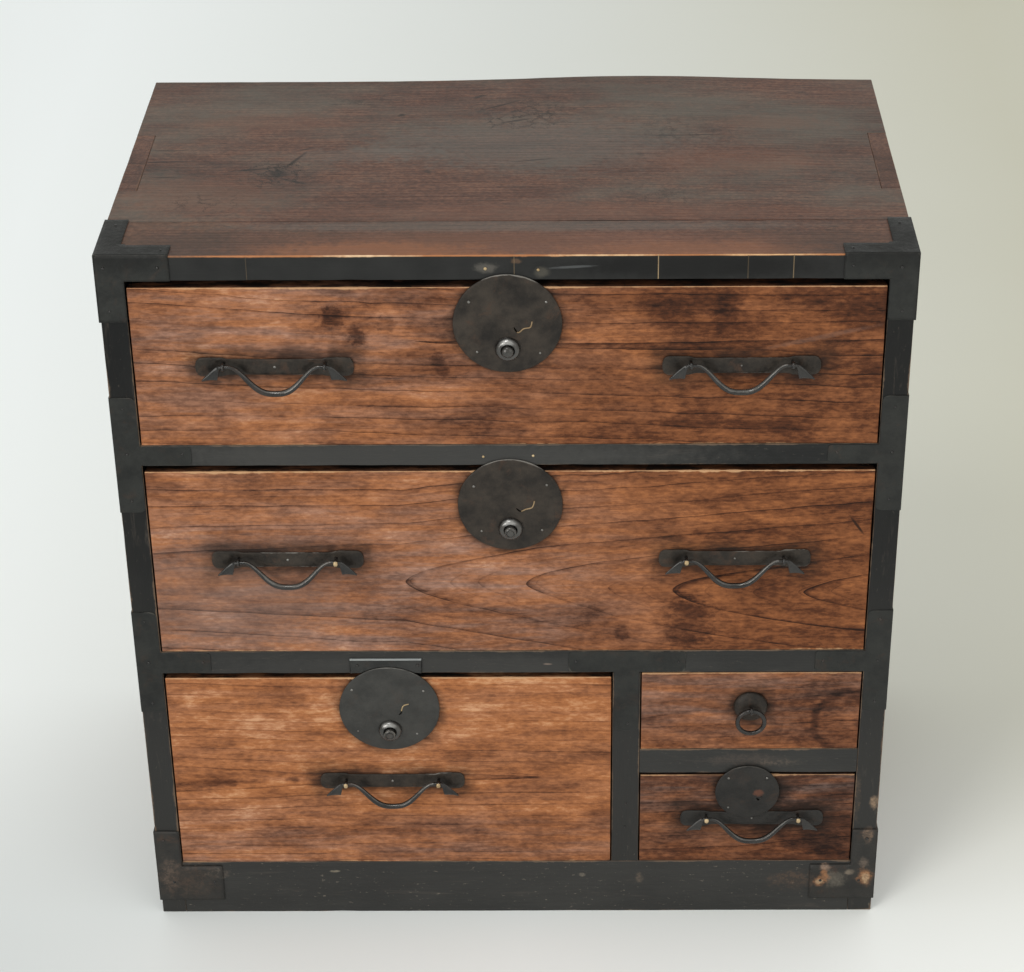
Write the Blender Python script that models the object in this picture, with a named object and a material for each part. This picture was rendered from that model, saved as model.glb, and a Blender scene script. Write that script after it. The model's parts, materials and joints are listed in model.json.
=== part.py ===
# A small lacquered drawer chest: a case of boards, stiles and rails, five drawers, swinging iron
# handles, push-button locks and corner irons. Metres, +Z up, the front looks towards -Y, and the
# origin is the middle of the footprint, on the floor.

import math

import bmesh
import bpy
from mathutils import Vector

for old in list(bpy.data.objects):
    bpy.data.objects.remove(old, do_unlink=True)

# Clearances
FIT = 0.0003
EYE_CLEARANCE = 0.00035
BOLT_ROOM = 0.001
DRAWER_SIDE_CLEARANCE = 0.0012
DRAWER_REAR_CLEARANCE = 0.010
CUT_OVERRUN = 0.002

# Case
CASE_WIDTH = 0.650
CASE_DEPTH = 0.364
SIDE_THICKNESS = 0.016
TOP_THICKNESS = 0.0215
BACK_THICKNESS = 0.008
BOTTOM_THICKNESS = 0.012
DUST_THICKNESS = 0.009
PARTITION_THICKNESS = 0.014
FRAME_DEPTH = 0.020
STILE_WIDTH = 0.0215
POST_WIDTH = 0.024
TOP_STRIP_DEPTH = 0.064
FINGER_START = 0.125
FINGER_LENGTH = 0.116
DADO_DEPTH = 0.005
TENON_LENGTH = 0.010
TENON_SHOULDER = 0.005

# Heights of the rails and the drawer openings, from the floor up
BOTTOM_RAIL_HEIGHT = 0.058
LOWER_OPENING_HEIGHT = 0.208
MIDDLE_RAIL_HEIGHT = 0.023
MIDDLE_OPENING_HEIGHT = 0.1855
UPPER_RAIL_HEIGHT = 0.0195
TOP_OPENING_HEIGHT = 0.1505
SMALL_LOWER_OPENING_HEIGHT = 0.0995
SMALL_RAIL_HEIGHT = 0.026
LOWER_OPENING_WIDTH = 0.390

# Drawers
FRONT_THICKNESS = 0.019
FRONT_LAP = 0.009
WALL_THICKNESS = 0.010
WALL_DROP = 0.008
TRAY_THICKNESS = 0.007
TOP_HEADROOM = 0.0065
MIDDLE_HEADROOM = 0.0058
LOWER_HEADROOM = 0.005
SMALL_UPPER_HEADROOM = 0.0008
SMALL_LOWER_HEADROOM = 0.0025

# Bail handles
BAIL_SPACING = 0.082
BAIL_SHOULDER = 0.0045
BAIL_SPAN = 0.117
BAIL_DROP = 0.0245
TIP_DROP = 0.0115
GRIP_FULLNESS = 0.74
GRIP_RADIUS = 0.0023
PIVOT_RADIUS = 0.00155
LEAF_WIDTH = 0.0122
LEAF_THICKNESS = 0.0019
TIP_WIDTH = 0.0014
LEAF_CURVE = 1.25
BAIL_STANDOFF = 0.0085
HANDLE_PLATE_LENGTH = 0.128
HANDLE_PLATE_WAIST = 0.0140
HANDLE_PLATE_END = 0.0170
HANDLE_PLATE_END_LENGTH = 0.027
HANDLE_PLATE_RAMP = 0.006
PLATE_THICKNESS = 0.0012
EYE_WALL = 0.0015
EYE_WIDTH = 0.0026
PIN_WIDTH = 0.0026
PIN_TAIL = 0.004

# Where the handles sit: paired ones in from the ends of their drawer front, others from its middle,
# and how far each bail's eye pins sit above the middle of its plate
SIDE_HANDLE_INSET = 0.1138
TOP_HANDLE_RISE = 0.0015
TOP_BAIL_LIFT = 0.0036
MIDDLE_HANDLE_RISE = 0.0045
MIDDLE_BAIL_LIFT = 0.0015
LOWER_HANDLE_RISE = -0.009
LOWER_BAIL_LIFT = 0.0015
SMALL_HANDLE_OFFSET = 0.005
SMALL_HANDLE_RISE = 0.001
SMALL_BAIL_LIFT = 0.0042

# Ring pull
RING_DIAMETER = 0.0275
RING_WIRE_RADIUS = 0.0020
RING_STANDOFF = 0.0115
RING_RISE = 0.006
RING_LIFT = 0.0020
ROSETTE_DIAMETER = 0.030
ROSETTE_HEIGHT = 0.0065
ROSETTE_RIM = 0.001

# Locks
LOCK_DIAMETER = 0.0875
LOCK_THICKNESS = 0.0016
LOCK_BEVEL = 0.0007
LOCK_DROP = 0.032
BUTTON_DROP = 0.022
BUTTON_DIAMETER = 0.010
BUTTON_REACH = 0.0095
BUTTON_ROUND = 0.002
BUTTON_TRAVEL = 0.005
BODY_DIAMETER = 0.014
BODY_RIM = 0.0025
WEDGE_LENGTH = 0.006
BOSS_DIAMETER = 0.0210
BOSS_WAIST_DIAMETER = 0.0184
BOSS_TOP_DIAMETER = 0.0128
BOSS_HEIGHT = 0.0052
KEYHOLE_LENGTH = 0.013
KEYHOLE_WIDTH = 0.0024
KEYHOLE_OFFSET = 0.014
KEYHOLE_TILT = math.radians(28)
BOLT_WIDTH = 0.024
BOLT_THICKNESS = 0.0052
BOLT_LIFT = 0.008
BOLT_PROUD = 0.003
SMALL_LOCK_DIAMETER = 0.057
SMALL_LOCK_DROP = 0.017
SMALL_LOCK_CASE_WIDTH = 0.028
SMALL_LOCK_CASE_HEIGHT = 0.022
SMALL_LOCK_CASE_DEPTH = 0.009

# Corner irons
IRON_THICKNESS = 0.0012
TOP_IRON_ARM = 0.058
TOP_IRON_DROP = 0.058
TOP_IRON_RETURN = 0.066
TOP_IRON_DEPTH = 0.018
BOTTOM_IRON_ARM = 0.058
BOTTOM_IRON_FOOT = 0.015
BOTTOM_IRON_HEIGHT = 0.039
BOTTOM_IRON_RISE = 0.079

# How finely round shapes are divided
DISC_SIDES = 40
SMALL_SIDES = 16
WIRE_SIDES = 8
RING_STEPS = 24
ARC_STEPS = 12
GRIP_STEPS = 12
LEAF_STEPS = 6
ROUND_STEPS = 2
SMOOTH_ANGLE = math.radians(35)

# Finishes: colour, roughness, metallic
BROWN_WOOD = ((0.29, 0.115, 0.045), 0.42, 0.0)
TOP_WOOD = ((0.115, 0.055, 0.035), 0.45, 0.0)
BARE_WOOD = ((0.42, 0.29, 0.17), 0.75, 0.0)
BLACK_LACQUER = ((0.022, 0.022, 0.021), 0.45, 0.0)
BLACK_IRON = ((0.035, 0.033, 0.031), 0.5, 0.85)
STEEL = ((0.25, 0.24, 0.22), 0.45, 1.0)

# Places that follow from the sizes
EYE_RADIUS = PIVOT_RADIUS + EYE_CLEARANCE + EYE_WALL
RING_EYE_RADIUS = RING_WIRE_RADIUS + EYE_CLEARANCE + EYE_WALL
FRONT_REACH = max(
    BAIL_STANDOFF + EYE_RADIUS,
    BAIL_STANDOFF + GRIP_RADIUS,
    RING_STANDOFF + RING_EYE_RADIUS,
    FIT + LOCK_THICKNESS + BUTTON_REACH,
)
FRONT_Y = (FRONT_REACH - CASE_DEPTH) / 2
BACK_Y = FRONT_Y + CASE_DEPTH
FRAME_BACK_Y = FRONT_Y + FRAME_DEPTH
PANEL_Y = BACK_Y - BACK_THICKNESS
HALF_WIDTH = CASE_WIDTH / 2
INNER_X = HALF_WIDTH - STILE_WIDTH
WALL_X = HALF_WIDTH - SIDE_THICKNESS
POST_LEFT = LOWER_OPENING_WIDTH - INNER_X
POST_RIGHT = POST_LEFT + POST_WIDTH
POST_X = (POST_LEFT + POST_RIGHT) / 2
LOWER_FOOT = BOTTOM_RAIL_HEIGHT
LOWER_HEAD = LOWER_FOOT + LOWER_OPENING_HEIGHT
MIDDLE_FOOT = LOWER_HEAD + MIDDLE_RAIL_HEIGHT
MIDDLE_HEAD = MIDDLE_FOOT + MIDDLE_OPENING_HEIGHT
TOP_FOOT = MIDDLE_HEAD + UPPER_RAIL_HEIGHT
TOP_HEAD = TOP_FOOT + TOP_OPENING_HEIGHT
SMALL_HEAD = LOWER_FOOT + SMALL_LOWER_OPENING_HEIGHT
SMALL_FOOT = SMALL_HEAD + SMALL_RAIL_HEIGHT
CASE_HEIGHT = TOP_HEAD + TOP_THICKNESS
DRAWER_BACK_Y = PANEL_Y - DRAWER_REAR_CLEARANCE


# Making solids

def add_empty(name, origin, parent=None):
    empty = bpy.data.objects.new(name, None)
    bpy.context.scene.collection.objects.link(empty)
    empty.parent = parent
    empty.location = Vector(origin) - parent_origin(parent)
    empty["origin"] = list(origin)
    return empty


def parent_origin(parent):
    return Vector(parent["origin"]) if parent else Vector((0, 0, 0))


def add_material(name, finish):
    colour, roughness, metallic = finish
    material = bpy.data.materials.new(name)
    material.use_nodes = True
    shader = material.node_tree.nodes["Principled BSDF"]
    shader.inputs["Base Color"].default_value = (*colour, 1)
    shader.inputs["Roughness"].default_value = roughness
    shader.inputs["Metallic"].default_value = metallic
    material.diffuse_color = (*colour, 1)
    return material


def loft(name, rings, finish=None, parent=None, origin=None, endless=False, smooth=False):
    """A closed solid through rings of points in the case's frame. With no finish it is a cutter."""
    origin = Vector(origin) if origin else parent_origin(parent)
    shape = bmesh.new()
    loops = [[shape.verts.new(Vector(point) - origin) for point in ring] for ring in rings]
    pairs = list(zip(loops, loops[1:] + loops[:1] if endless else loops[1:]))
    for near, far in pairs:
        for index in range(len(near)):
            after = (index + 1) % len(near)
            shape.faces.new((near[index], near[after], far[after], far[index]))
    if not endless:
        shape.faces.new(loops[0])
        shape.faces.new(loops[-1])
    bmesh.ops.recalc_face_normals(shape, faces=shape.faces)
    mesh = bpy.data.meshes.new(name)
    shape.to_mesh(mesh)
    shape.free()
    if smooth:
        mesh.shade_smooth()
        mesh.set_sharp_from_angle(angle=SMOOTH_ANGLE)
    solid = bpy.data.objects.new(name, mesh)
    bpy.context.scene.collection.objects.link(solid)
    solid.parent = parent
    solid.location = origin - parent_origin(parent)
    if finish:
        mesh.materials.append(add_material(name, finish))
    else:
        solid.hide_render = True
        solid.display_type = "WIRE"
    return solid


def box(name, low, high, finish=None, parent=None, origin=None):
    outline = [(low[0], low[1]), (high[0], low[1]), (high[0], high[1]), (low[0], high[1])]
    return prism_z(name, outline, low[2], high[2], finish, parent, origin)


def prism_x(name, outline, low, high, finish=None, parent=None, origin=None):
    rings = [[(x, y, z) for y, z in outline] for x in (low, high)]
    return loft(name, rings, finish, parent, origin)


def prism_y(name, outline, low, high, finish=None, parent=None, origin=None):
    rings = [[(x, y, z) for x, z in outline] for y in (low, high)]
    return loft(name, rings, finish, parent, origin)


def prism_z(name, outline, low, high, finish=None, parent=None, origin=None):
    rings = [[(x, y, z) for x, y in outline] for z in (low, high)]
    return loft(name, rings, finish, parent, origin)


def arc(centre, radius, start, end, steps):
    turns = [start + (end - start) * step / steps for step in range(steps + 1)]
    return [(centre[0] + radius * math.cos(a), centre[1] + radius * math.sin(a)) for a in turns]


def turned_y(name, x, z, profile, sides, finish=None, parent=None, origin=None):
    """A solid turned about an axis along Y, from a profile of (y, radius)."""
    rings = []
    for y, radius in profile:
        circle = arc((x, z), radius, 0, math.tau, sides)[:-1]
        rings.append([(px, y, pz) for px, pz in circle])
    return loft(name, rings, finish, parent, origin, smooth=True)


def boolean(solid, other, operation):
    modifier = solid.modifiers.new(other.name, "BOOLEAN")
    modifier.operation = operation
    modifier.solver = "EXACT"
    modifier.object = other


def cut(solid, cutter):
    boolean(solid, cutter, "DIFFERENCE")


def fuse(solid, other):
    boolean(solid, other, "UNION")


def tenon(rail, host, low, high):
    """A tenon of the rail, and its mortise in the host."""
    name = f"{rail.name}_in_{host.name}"
    fuse(rail, box(f"{name}_tenon", low, high))
    room = Vector((FIT, FIT, FIT))
    cut(host, box(f"{name}_mortise", Vector(low) - room, Vector(high) + room))


# Case

def side_board(name, side, parent):
    rest_z = TOP_HEAD - FIT
    front = FRAME_BACK_Y + FIT
    finger = (FRONT_Y + FINGER_START, FRONT_Y + FINGER_START + FINGER_LENGTH)
    outline = [
        (front, 0),
        (BACK_Y, 0),
        (BACK_Y, rest_z),
        (finger[1], rest_z),
        (finger[1], CASE_HEIGHT),
        (finger[0], CASE_HEIGHT),
        (finger[0], rest_z),
        (front, rest_z),
    ]
    return prism_x(name, outline, side * WALL_X, side * HALF_WIDTH, TOP_WOOD, parent)


def top_board(parent):
    front = FRONT_Y + TOP_STRIP_DEPTH + FIT
    notch = (FRONT_Y + FINGER_START - FIT, FRONT_Y + FINGER_START + FINGER_LENGTH + FIT)
    notch_x = WALL_X - FIT
    right = [
        (HALF_WIDTH, front),
        (HALF_WIDTH, notch[0]),
        (notch_x, notch[0]),
        (notch_x, notch[1]),
        (HALF_WIDTH, notch[1]),
        (HALF_WIDTH, BACK_Y),
    ]
    left = [(-x, y) for x, y in reversed(right)]
    return prism_z("top_board", right + left, TOP_HEAD, CASE_HEIGHT, TOP_WOOD, parent)


def shelf(name, left, right, top, thickness, hosts, parent):
    """A board behind a rail, let into grooves in the boards at its two ends."""
    front = FRAME_BACK_Y + FIT
    back = PANEL_Y - FIT
    low = (left - DADO_DEPTH, front, top - thickness)
    high = (right + DADO_DEPTH, back, top)
    for host in hosts:
        groove_low = (low[0] - FIT, front - CUT_OVERRUN, low[2] - FIT)
        groove_high = (high[0] + FIT, back + CUT_OVERRUN, high[2] + FIT)
        cut(host, box(f"{name}_groove_in_{host.name}", groove_low, groove_high))
    return box(name, low, high, BARE_WOOD, parent)


def cross_rail(name, left, right, foot, head, hosts, parent):
    """A front rail between two uprights, with a tenon in each."""
    low = (left + FIT, FRONT_Y, foot)
    high = (right - FIT, FRAME_BACK_Y, head)
    rail = box(name, low, high, BLACK_LACQUER, parent)
    for host, end in zip(hosts, (left, right)):
        tenon_low = (end - TENON_LENGTH, FRONT_Y + TENON_SHOULDER, foot + TENON_SHOULDER)
        tenon_high = (end + TENON_LENGTH, FRAME_BACK_Y - TENON_SHOULDER, head - TENON_SHOULDER)
        tenon(rail, host, tenon_low, tenon_high)
    return rail


def make_case(parent):
    sides = [side_board("left_side_board", -1, parent), side_board("right_side_board", 1, parent)]
    top_board(parent)
    strip_back = FRONT_Y + TOP_STRIP_DEPTH
    strip_low = (-HALF_WIDTH, FRONT_Y, TOP_HEAD)
    strip = box("top_front_board", strip_low, (HALF_WIDTH, strip_back, CASE_HEIGHT), TOP_WOOD, parent)
    panel_low = (FIT - WALL_X, PANEL_Y, 0)
    box("back_panel", panel_low, (WALL_X - FIT, BACK_Y, TOP_HEAD - FIT), BARE_WOOD, parent)

    stiles = []
    for name, low, high in (
        ("left_stile", -HALF_WIDTH, -INNER_X),
        ("right_stile", INNER_X, HALF_WIDTH),
    ):
        stile_high = (high, FRAME_BACK_Y, TOP_HEAD - FIT)
        stiles.append(box(name, (low, FRONT_Y, 0), stile_high, BLACK_LACQUER, parent))

    rails = {}
    for name, foot, head in (
        ("bottom_rail", 0, LOWER_FOOT),
        ("middle_rail", LOWER_HEAD, MIDDLE_FOOT),
        ("upper_rail", MIDDLE_HEAD, TOP_FOOT),
    ):
        rails[name] = cross_rail(name, -INNER_X, INNER_X, foot, head, stiles, parent)

    post_low = (POST_LEFT, FRONT_Y, LOWER_FOOT + FIT)
    post_high = (POST_RIGHT, FRAME_BACK_Y, LOWER_HEAD - FIT)
    post = box("divider_post", post_low, post_high, BLACK_LACQUER, parent)
    for host, end in ((rails["bottom_rail"], LOWER_FOOT), (rails["middle_rail"], LOWER_HEAD)):
        peg_low = (POST_LEFT + TENON_SHOULDER, FRONT_Y + TENON_SHOULDER, end - TENON_LENGTH)
        peg_high = (POST_RIGHT - TENON_SHOULDER, FRAME_BACK_Y - TENON_SHOULDER, end + TENON_LENGTH)
        tenon(post, host, peg_low, peg_high)
    cross_rail("small_rail", POST_RIGHT, INNER_X, SMALL_HEAD, SMALL_FOOT, (post, stiles[1]), parent)

    shelf("bottom_board", -WALL_X, WALL_X, LOWER_FOOT, BOTTOM_THICKNESS, sides, parent)
    shelf("middle_dust_board", -WALL_X, WALL_X, MIDDLE_FOOT, DUST_THICKNESS, sides, parent)
    shelf("upper_dust_board", -WALL_X, WALL_X, TOP_FOOT, DUST_THICKNESS, sides, parent)
    half = PARTITION_THICKNESS / 2
    partition_low = (POST_X - half, FRAME_BACK_Y + FIT, LOWER_FOOT + FIT)
    partition_high = (POST_X + half, PANEL_Y - FIT, MIDDLE_FOOT - DUST_THICKNESS - FIT)
    partition = box("partition_board", partition_low, partition_high, BARE_WOOD, parent)
    small_ends = (partition, sides[1])
    shelf("small_dust_board", POST_X + half, WALL_X, SMALL_FOOT, DUST_THICKNESS, small_ends, parent)
    return {"top_drawer": strip, "middle_drawer": rails["upper_rail"], "lower_drawer": rails["middle_rail"]}


# Corner irons

def case_corner(name, side):
    """The corner of the case that an iron wraps, with the fit it keeps to the wood."""
    low = (0, FRONT_Y - FIT, -CUT_OVERRUN)
    high = (side * (HALF_WIDTH + FIT), BACK_Y, CASE_HEIGHT + FIT)
    return box(f"{name}_bed", low, high)


def corner_iron(name, side, arms, parent):
    """Arms of angle iron round a corner: each arm is (width from the edge, depth, foot, head)."""
    outer_x = side * (HALF_WIDTH + FIT + IRON_THICKNESS)
    outer_y = FRONT_Y - FIT - IRON_THICKNESS
    iron = None
    for number, (width, depth, foot, head) in enumerate(arms):
        low = (side * (HALF_WIDTH - width), outer_y, foot)
        high = (outer_x, FRONT_Y + depth, head)
        if iron is None:
            iron = box(name, low, high, BLACK_IRON, parent)
        else:
            fuse(iron, box(f"{name}_arm_{number}", low, high))
    cut(iron, case_corner(name, side))
    return iron


def make_corner_irons(parent):
    top = CASE_HEIGHT + FIT + IRON_THICKNESS
    top_arms = (
        (TOP_IRON_ARM, TOP_IRON_DEPTH, TOP_HEAD, top),
        (TOP_IRON_DEPTH, TOP_IRON_RETURN, TOP_HEAD, top),
        (STILE_WIDTH, FRAME_DEPTH, CASE_HEIGHT - TOP_IRON_DROP, top),
    )
    head = BOTTOM_IRON_FOOT + BOTTOM_IRON_HEIGHT
    bottom_arms = (
        (BOTTOM_IRON_ARM, BOTTOM_IRON_ARM, BOTTOM_IRON_FOOT, head),
        (STILE_WIDTH, FRAME_DEPTH, BOTTOM_IRON_FOOT, BOTTOM_IRON_FOOT + BOTTOM_IRON_RISE),
    )
    for word, side in (("left", -1), ("right", 1)):
        corner_iron(f"top_{word}_corner_iron", side, top_arms, parent)
        corner_iron(f"bottom_{word}_corner_iron", side, bottom_arms, parent)


# Drawers

def make_drawer(name, left, right, foot, head, headroom, parent):
    """Front, walls and bottom. The walls lap into the ends of the front and stand on the bottom."""
    x0 = left + DRAWER_SIDE_CLEARANCE
    x1 = right - DRAWER_SIDE_CLEARANCE
    z0 = foot + FIT
    z1 = head - headroom
    lap = FRONT_Y + FRONT_LAP
    inside = FRONT_Y + FRONT_THICKNESS
    end = WALL_THICKNESS
    origin = ((x0 + x1) / 2, FRONT_Y, z0)
    drawer = add_empty(name, origin, parent)
    front_outline = [
        (x0, FRONT_Y),
        (x1, FRONT_Y),
        (x1, lap),
        (x1 - end - FIT, lap),
        (x1 - end - FIT, inside),
        (x0 + end + FIT, inside),
        (x0 + end + FIT, lap),
        (x0, lap),
    ]
    front = prism_z(f"{name}_front", front_outline, z0, z1, BROWN_WOOD, drawer)
    rear = [(x1, lap + FIT), (x1, DRAWER_BACK_Y), (x0, DRAWER_BACK_Y), (x0, lap + FIT)]
    back_inside = DRAWER_BACK_Y - WALL_THICKNESS
    inner_wall = [
        (x0 + end, lap + FIT),
        (x0 + end, back_inside),
        (x1 - end, back_inside),
        (x1 - end, lap + FIT),
    ]
    inner_bottom = [
        (x0 + end, lap + FIT),
        (x0 + end, inside + FIT),
        (x1 - end, inside + FIT),
        (x1 - end, lap + FIT),
    ]
    tray_top = z0 + TRAY_THICKNESS
    prism_z(f"{name}_walls", rear + inner_wall, tray_top + FIT, z1 - WALL_DROP, BARE_WOOD, drawer)
    prism_z(f"{name}_bottom", rear + inner_bottom, z0, tray_top, BARE_WOOD, drawer)
    return {
        "name": name,
        "empty": drawer,
        "front": front,
        "x": (x0 + x1) / 2,
        "half": (x1 - x0) / 2,
        "z": (z0 + z1) / 2,
        "top": z1,
        "inside": inside,
    }


# Handles

def eye_outline(y, z, radius, tail):
    """An eye round an axis at (y, z), with its pin running back to the tail."""
    half = PIN_WIDTH / 2
    open_angle = math.asin(half / radius)
    bow = arc((y, z), radius, open_angle, math.tau - open_angle, ARC_STEPS)
    return [(tail, z + half)] + bow + [(tail, z - half)]


def eye_pins(plate, drawer, xs, y, z, wire_radius):
    """Adds an eye pin at each x to the plate, bores the eyes, and lets the pins through the front."""
    tail = drawer["inside"] + PIN_TAIL
    bore_radius = wire_radius + EYE_CLEARANCE
    half = EYE_WIDTH / 2
    for number, x in enumerate(xs):
        outline = eye_outline(y, z, bore_radius + EYE_WALL, tail)
        name = f"{plate.name}_eye_{number}"
        fuse(plate, prism_x(name, outline, x - half, x + half))
        hole_low = (x - half - FIT, FRONT_Y - CUT_OVERRUN, z - PIN_WIDTH / 2 - FIT)
        hole_high = (x + half + FIT, tail + CUT_OVERRUN, z + PIN_WIDTH / 2 + FIT)
        cut(drawer["front"], box(f"{name}_hole", hole_low, hole_high))
    bore = arc((y, z), bore_radius, 0, math.tau, ARC_STEPS)[:-1]
    cut(plate, prism_x(f"{plate.name}_bore", bore, min(xs) - EYE_WIDTH, max(xs) + EYE_WIDTH))


def handle_plate_outline(x, z):
    """A long plate, narrow in the middle, with wider round ends."""
    waist = HANDLE_PLATE_WAIST / 2
    end = HANDLE_PLATE_END / 2
    ramp_x = HANDLE_PLATE_LENGTH / 2 - HANDLE_PLATE_END_LENGTH
    round_x = HANDLE_PLATE_LENGTH / 2 - end
    quarter = [(ramp_x, waist), (ramp_x + HANDLE_PLATE_RAMP, end)]
    quarter += arc((round_x, 0), end, math.pi / 2, 0, ARC_STEPS // 2)
    right = quarter + [(px, -pz) for px, pz in reversed(quarter[:-1])]
    left = [(-px, -pz) for px, pz in right]
    return [(x + px, z + pz) for px, pz in right + left]


def smooth_step(share):
    return (1 - math.cos(math.pi * share)) / 2


def bail_sections():
    """(x, z, half width, half thickness) along the right half of a bail, from the grip to the tip."""
    pivot_x = BAIL_SPACING / 2
    grip_x = pivot_x - BAIL_SHOULDER
    tip_x = BAIL_SPAN / 2
    sections = []
    for step in range(GRIP_STEPS + 1):
        share = step / GRIP_STEPS
        size = GRIP_RADIUS + (PIVOT_RADIUS - GRIP_RADIUS) * smooth_step(share)
        drop = BAIL_DROP * smooth_step(1 - share) ** GRIP_FULLNESS
        sections.append((grip_x * share, -drop, size, size))
    neck_x = pivot_x + EYE_WIDTH
    sections.append((neck_x, 0, PIVOT_RADIUS, PIVOT_RADIUS))
    for step in range(1, LEAF_STEPS + 1):
        share = step / LEAF_STEPS
        half = (LEAF_WIDTH + (TIP_WIDTH - LEAF_WIDTH) * (step - 1) / (LEAF_STEPS - 1)) / 2
        x = neck_x + (tip_x - neck_x) * share
        upper_edge = PIVOT_RADIUS - (TIP_DROP + PIVOT_RADIUS) * share ** LEAF_CURVE
        sections.append((x, upper_edge - half, half, LEAF_THICKNESS / 2))
    return sections


def make_bail(name, x, y, z, parent):
    right = bail_sections()
    left = [(-px, pz, half, thick) for px, pz, half, thick in reversed(right[1:])]
    line = left + right
    rings = []
    for index, (px, pz, half, thick) in enumerate(line):
        before = line[max(index - 1, 0)]
        after = line[min(index + 1, len(line) - 1)]
        run = math.hypot(after[0] - before[0], after[1] - before[1])
        slope = ((after[0] - before[0]) / run, (after[1] - before[1]) / run)
        if abs(px) > BAIL_SPACING / 2:
            slope = (1, 0)
        ring = []
        for turn in range(WIRE_SIDES):
            angle = math.tau * turn / WIRE_SIDES
            across = half * math.cos(angle)
            along_y = thick * math.sin(angle)
            ring.append((x + px - slope[1] * across, y + along_y, z + pz + slope[0] * across))
        rings.append(ring)
    return loft(name, rings, BLACK_IRON, parent, origin=(x, y, z), smooth=True)


def make_handle(name, drawer, offset, rise, lift):
    x = drawer["x"] + offset
    z = drawer["z"] + rise
    y = FRONT_Y - BAIL_STANDOFF
    face = FRONT_Y - FIT
    outline = handle_plate_outline(x, z)
    parent = drawer["empty"]
    plate_name = f"{name}_handle_plate"
    plate = prism_y(plate_name, outline, face - PLATE_THICKNESS, face, BLACK_IRON, parent)
    pivots = (x - BAIL_SPACING / 2, x + BAIL_SPACING / 2)
    eye_pins(plate, drawer, pivots, y, z + lift, PIVOT_RADIUS)
    make_bail(f"{name}_bail", x, y, z + lift, parent)


def make_ring_pull(drawer):
    x = drawer["x"]
    z = drawer["z"] + RING_RISE
    y = FRONT_Y - RING_STANDOFF
    face = FRONT_Y - FIT
    radius = ROSETTE_DIAMETER / 2
    profile = [(face, radius), (face - ROSETTE_RIM, radius)]
    for step in range(1, ARC_STEPS // 2):
        angle = math.pi / 2 * step / (ARC_STEPS // 2)
        height = ROSETTE_RIM + (ROSETTE_HEIGHT - ROSETTE_RIM) * math.sin(angle)
        profile.append((face - height, radius * math.cos(angle)))
    parent = drawer["empty"]
    rosette = turned_y("ring_rosette", x, z, profile, SMALL_SIDES, BLACK_IRON, parent)
    pivot_z = z + RING_LIFT
    eye_pins(rosette, drawer, (x,), y, pivot_z, RING_WIRE_RADIUS)
    middle = RING_DIAMETER / 2 - RING_WIRE_RADIUS
    rings = []
    for step in range(RING_STEPS):
        around = math.tau * step / RING_STEPS
        ring = []
        for turn in range(WIRE_SIDES):
            angle = math.tau * turn / WIRE_SIDES
            reach = middle + RING_WIRE_RADIUS * math.cos(angle)
            depth = y + RING_WIRE_RADIUS * math.sin(angle)
            ring.append((x + reach * math.sin(around), depth, pivot_z - middle + reach * math.cos(around)))
        rings.append(ring)
    loft("pull_ring", rings, BLACK_IRON, parent, origin=(x, y, pivot_z), endless=True, smooth=True)


# Locks

def lock_disc(name, x, z, diameter, back, parent):
    front = back - LOCK_THICKNESS
    radius = diameter / 2
    profile = [(back, radius), (front + LOCK_BEVEL, radius), (front, radius - LOCK_BEVEL)]
    return turned_y(name, x, z, profile, DISC_SIDES, BLACK_IRON, parent)


def keyhole(plate, x, z, back):
    """A slanted slot right through the plate, beside its middle."""
    along = Vector((math.cos(KEYHOLE_TILT), math.sin(KEYHOLE_TILT))) * KEYHOLE_LENGTH / 2
    aside = Vector((-along.y, along.x)).normalized() * KEYHOLE_WIDTH / 2
    near = Vector((x + KEYHOLE_OFFSET, z)) - along
    far = near + along * 2
    outline = [near - aside, far - aside, far + aside, near + aside]
    name = f"{plate.name}_keyhole"
    cut(plate, prism_y(name, outline, back - LOCK_THICKNESS - CUT_OVERRUN, back + CUT_OVERRUN))


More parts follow.
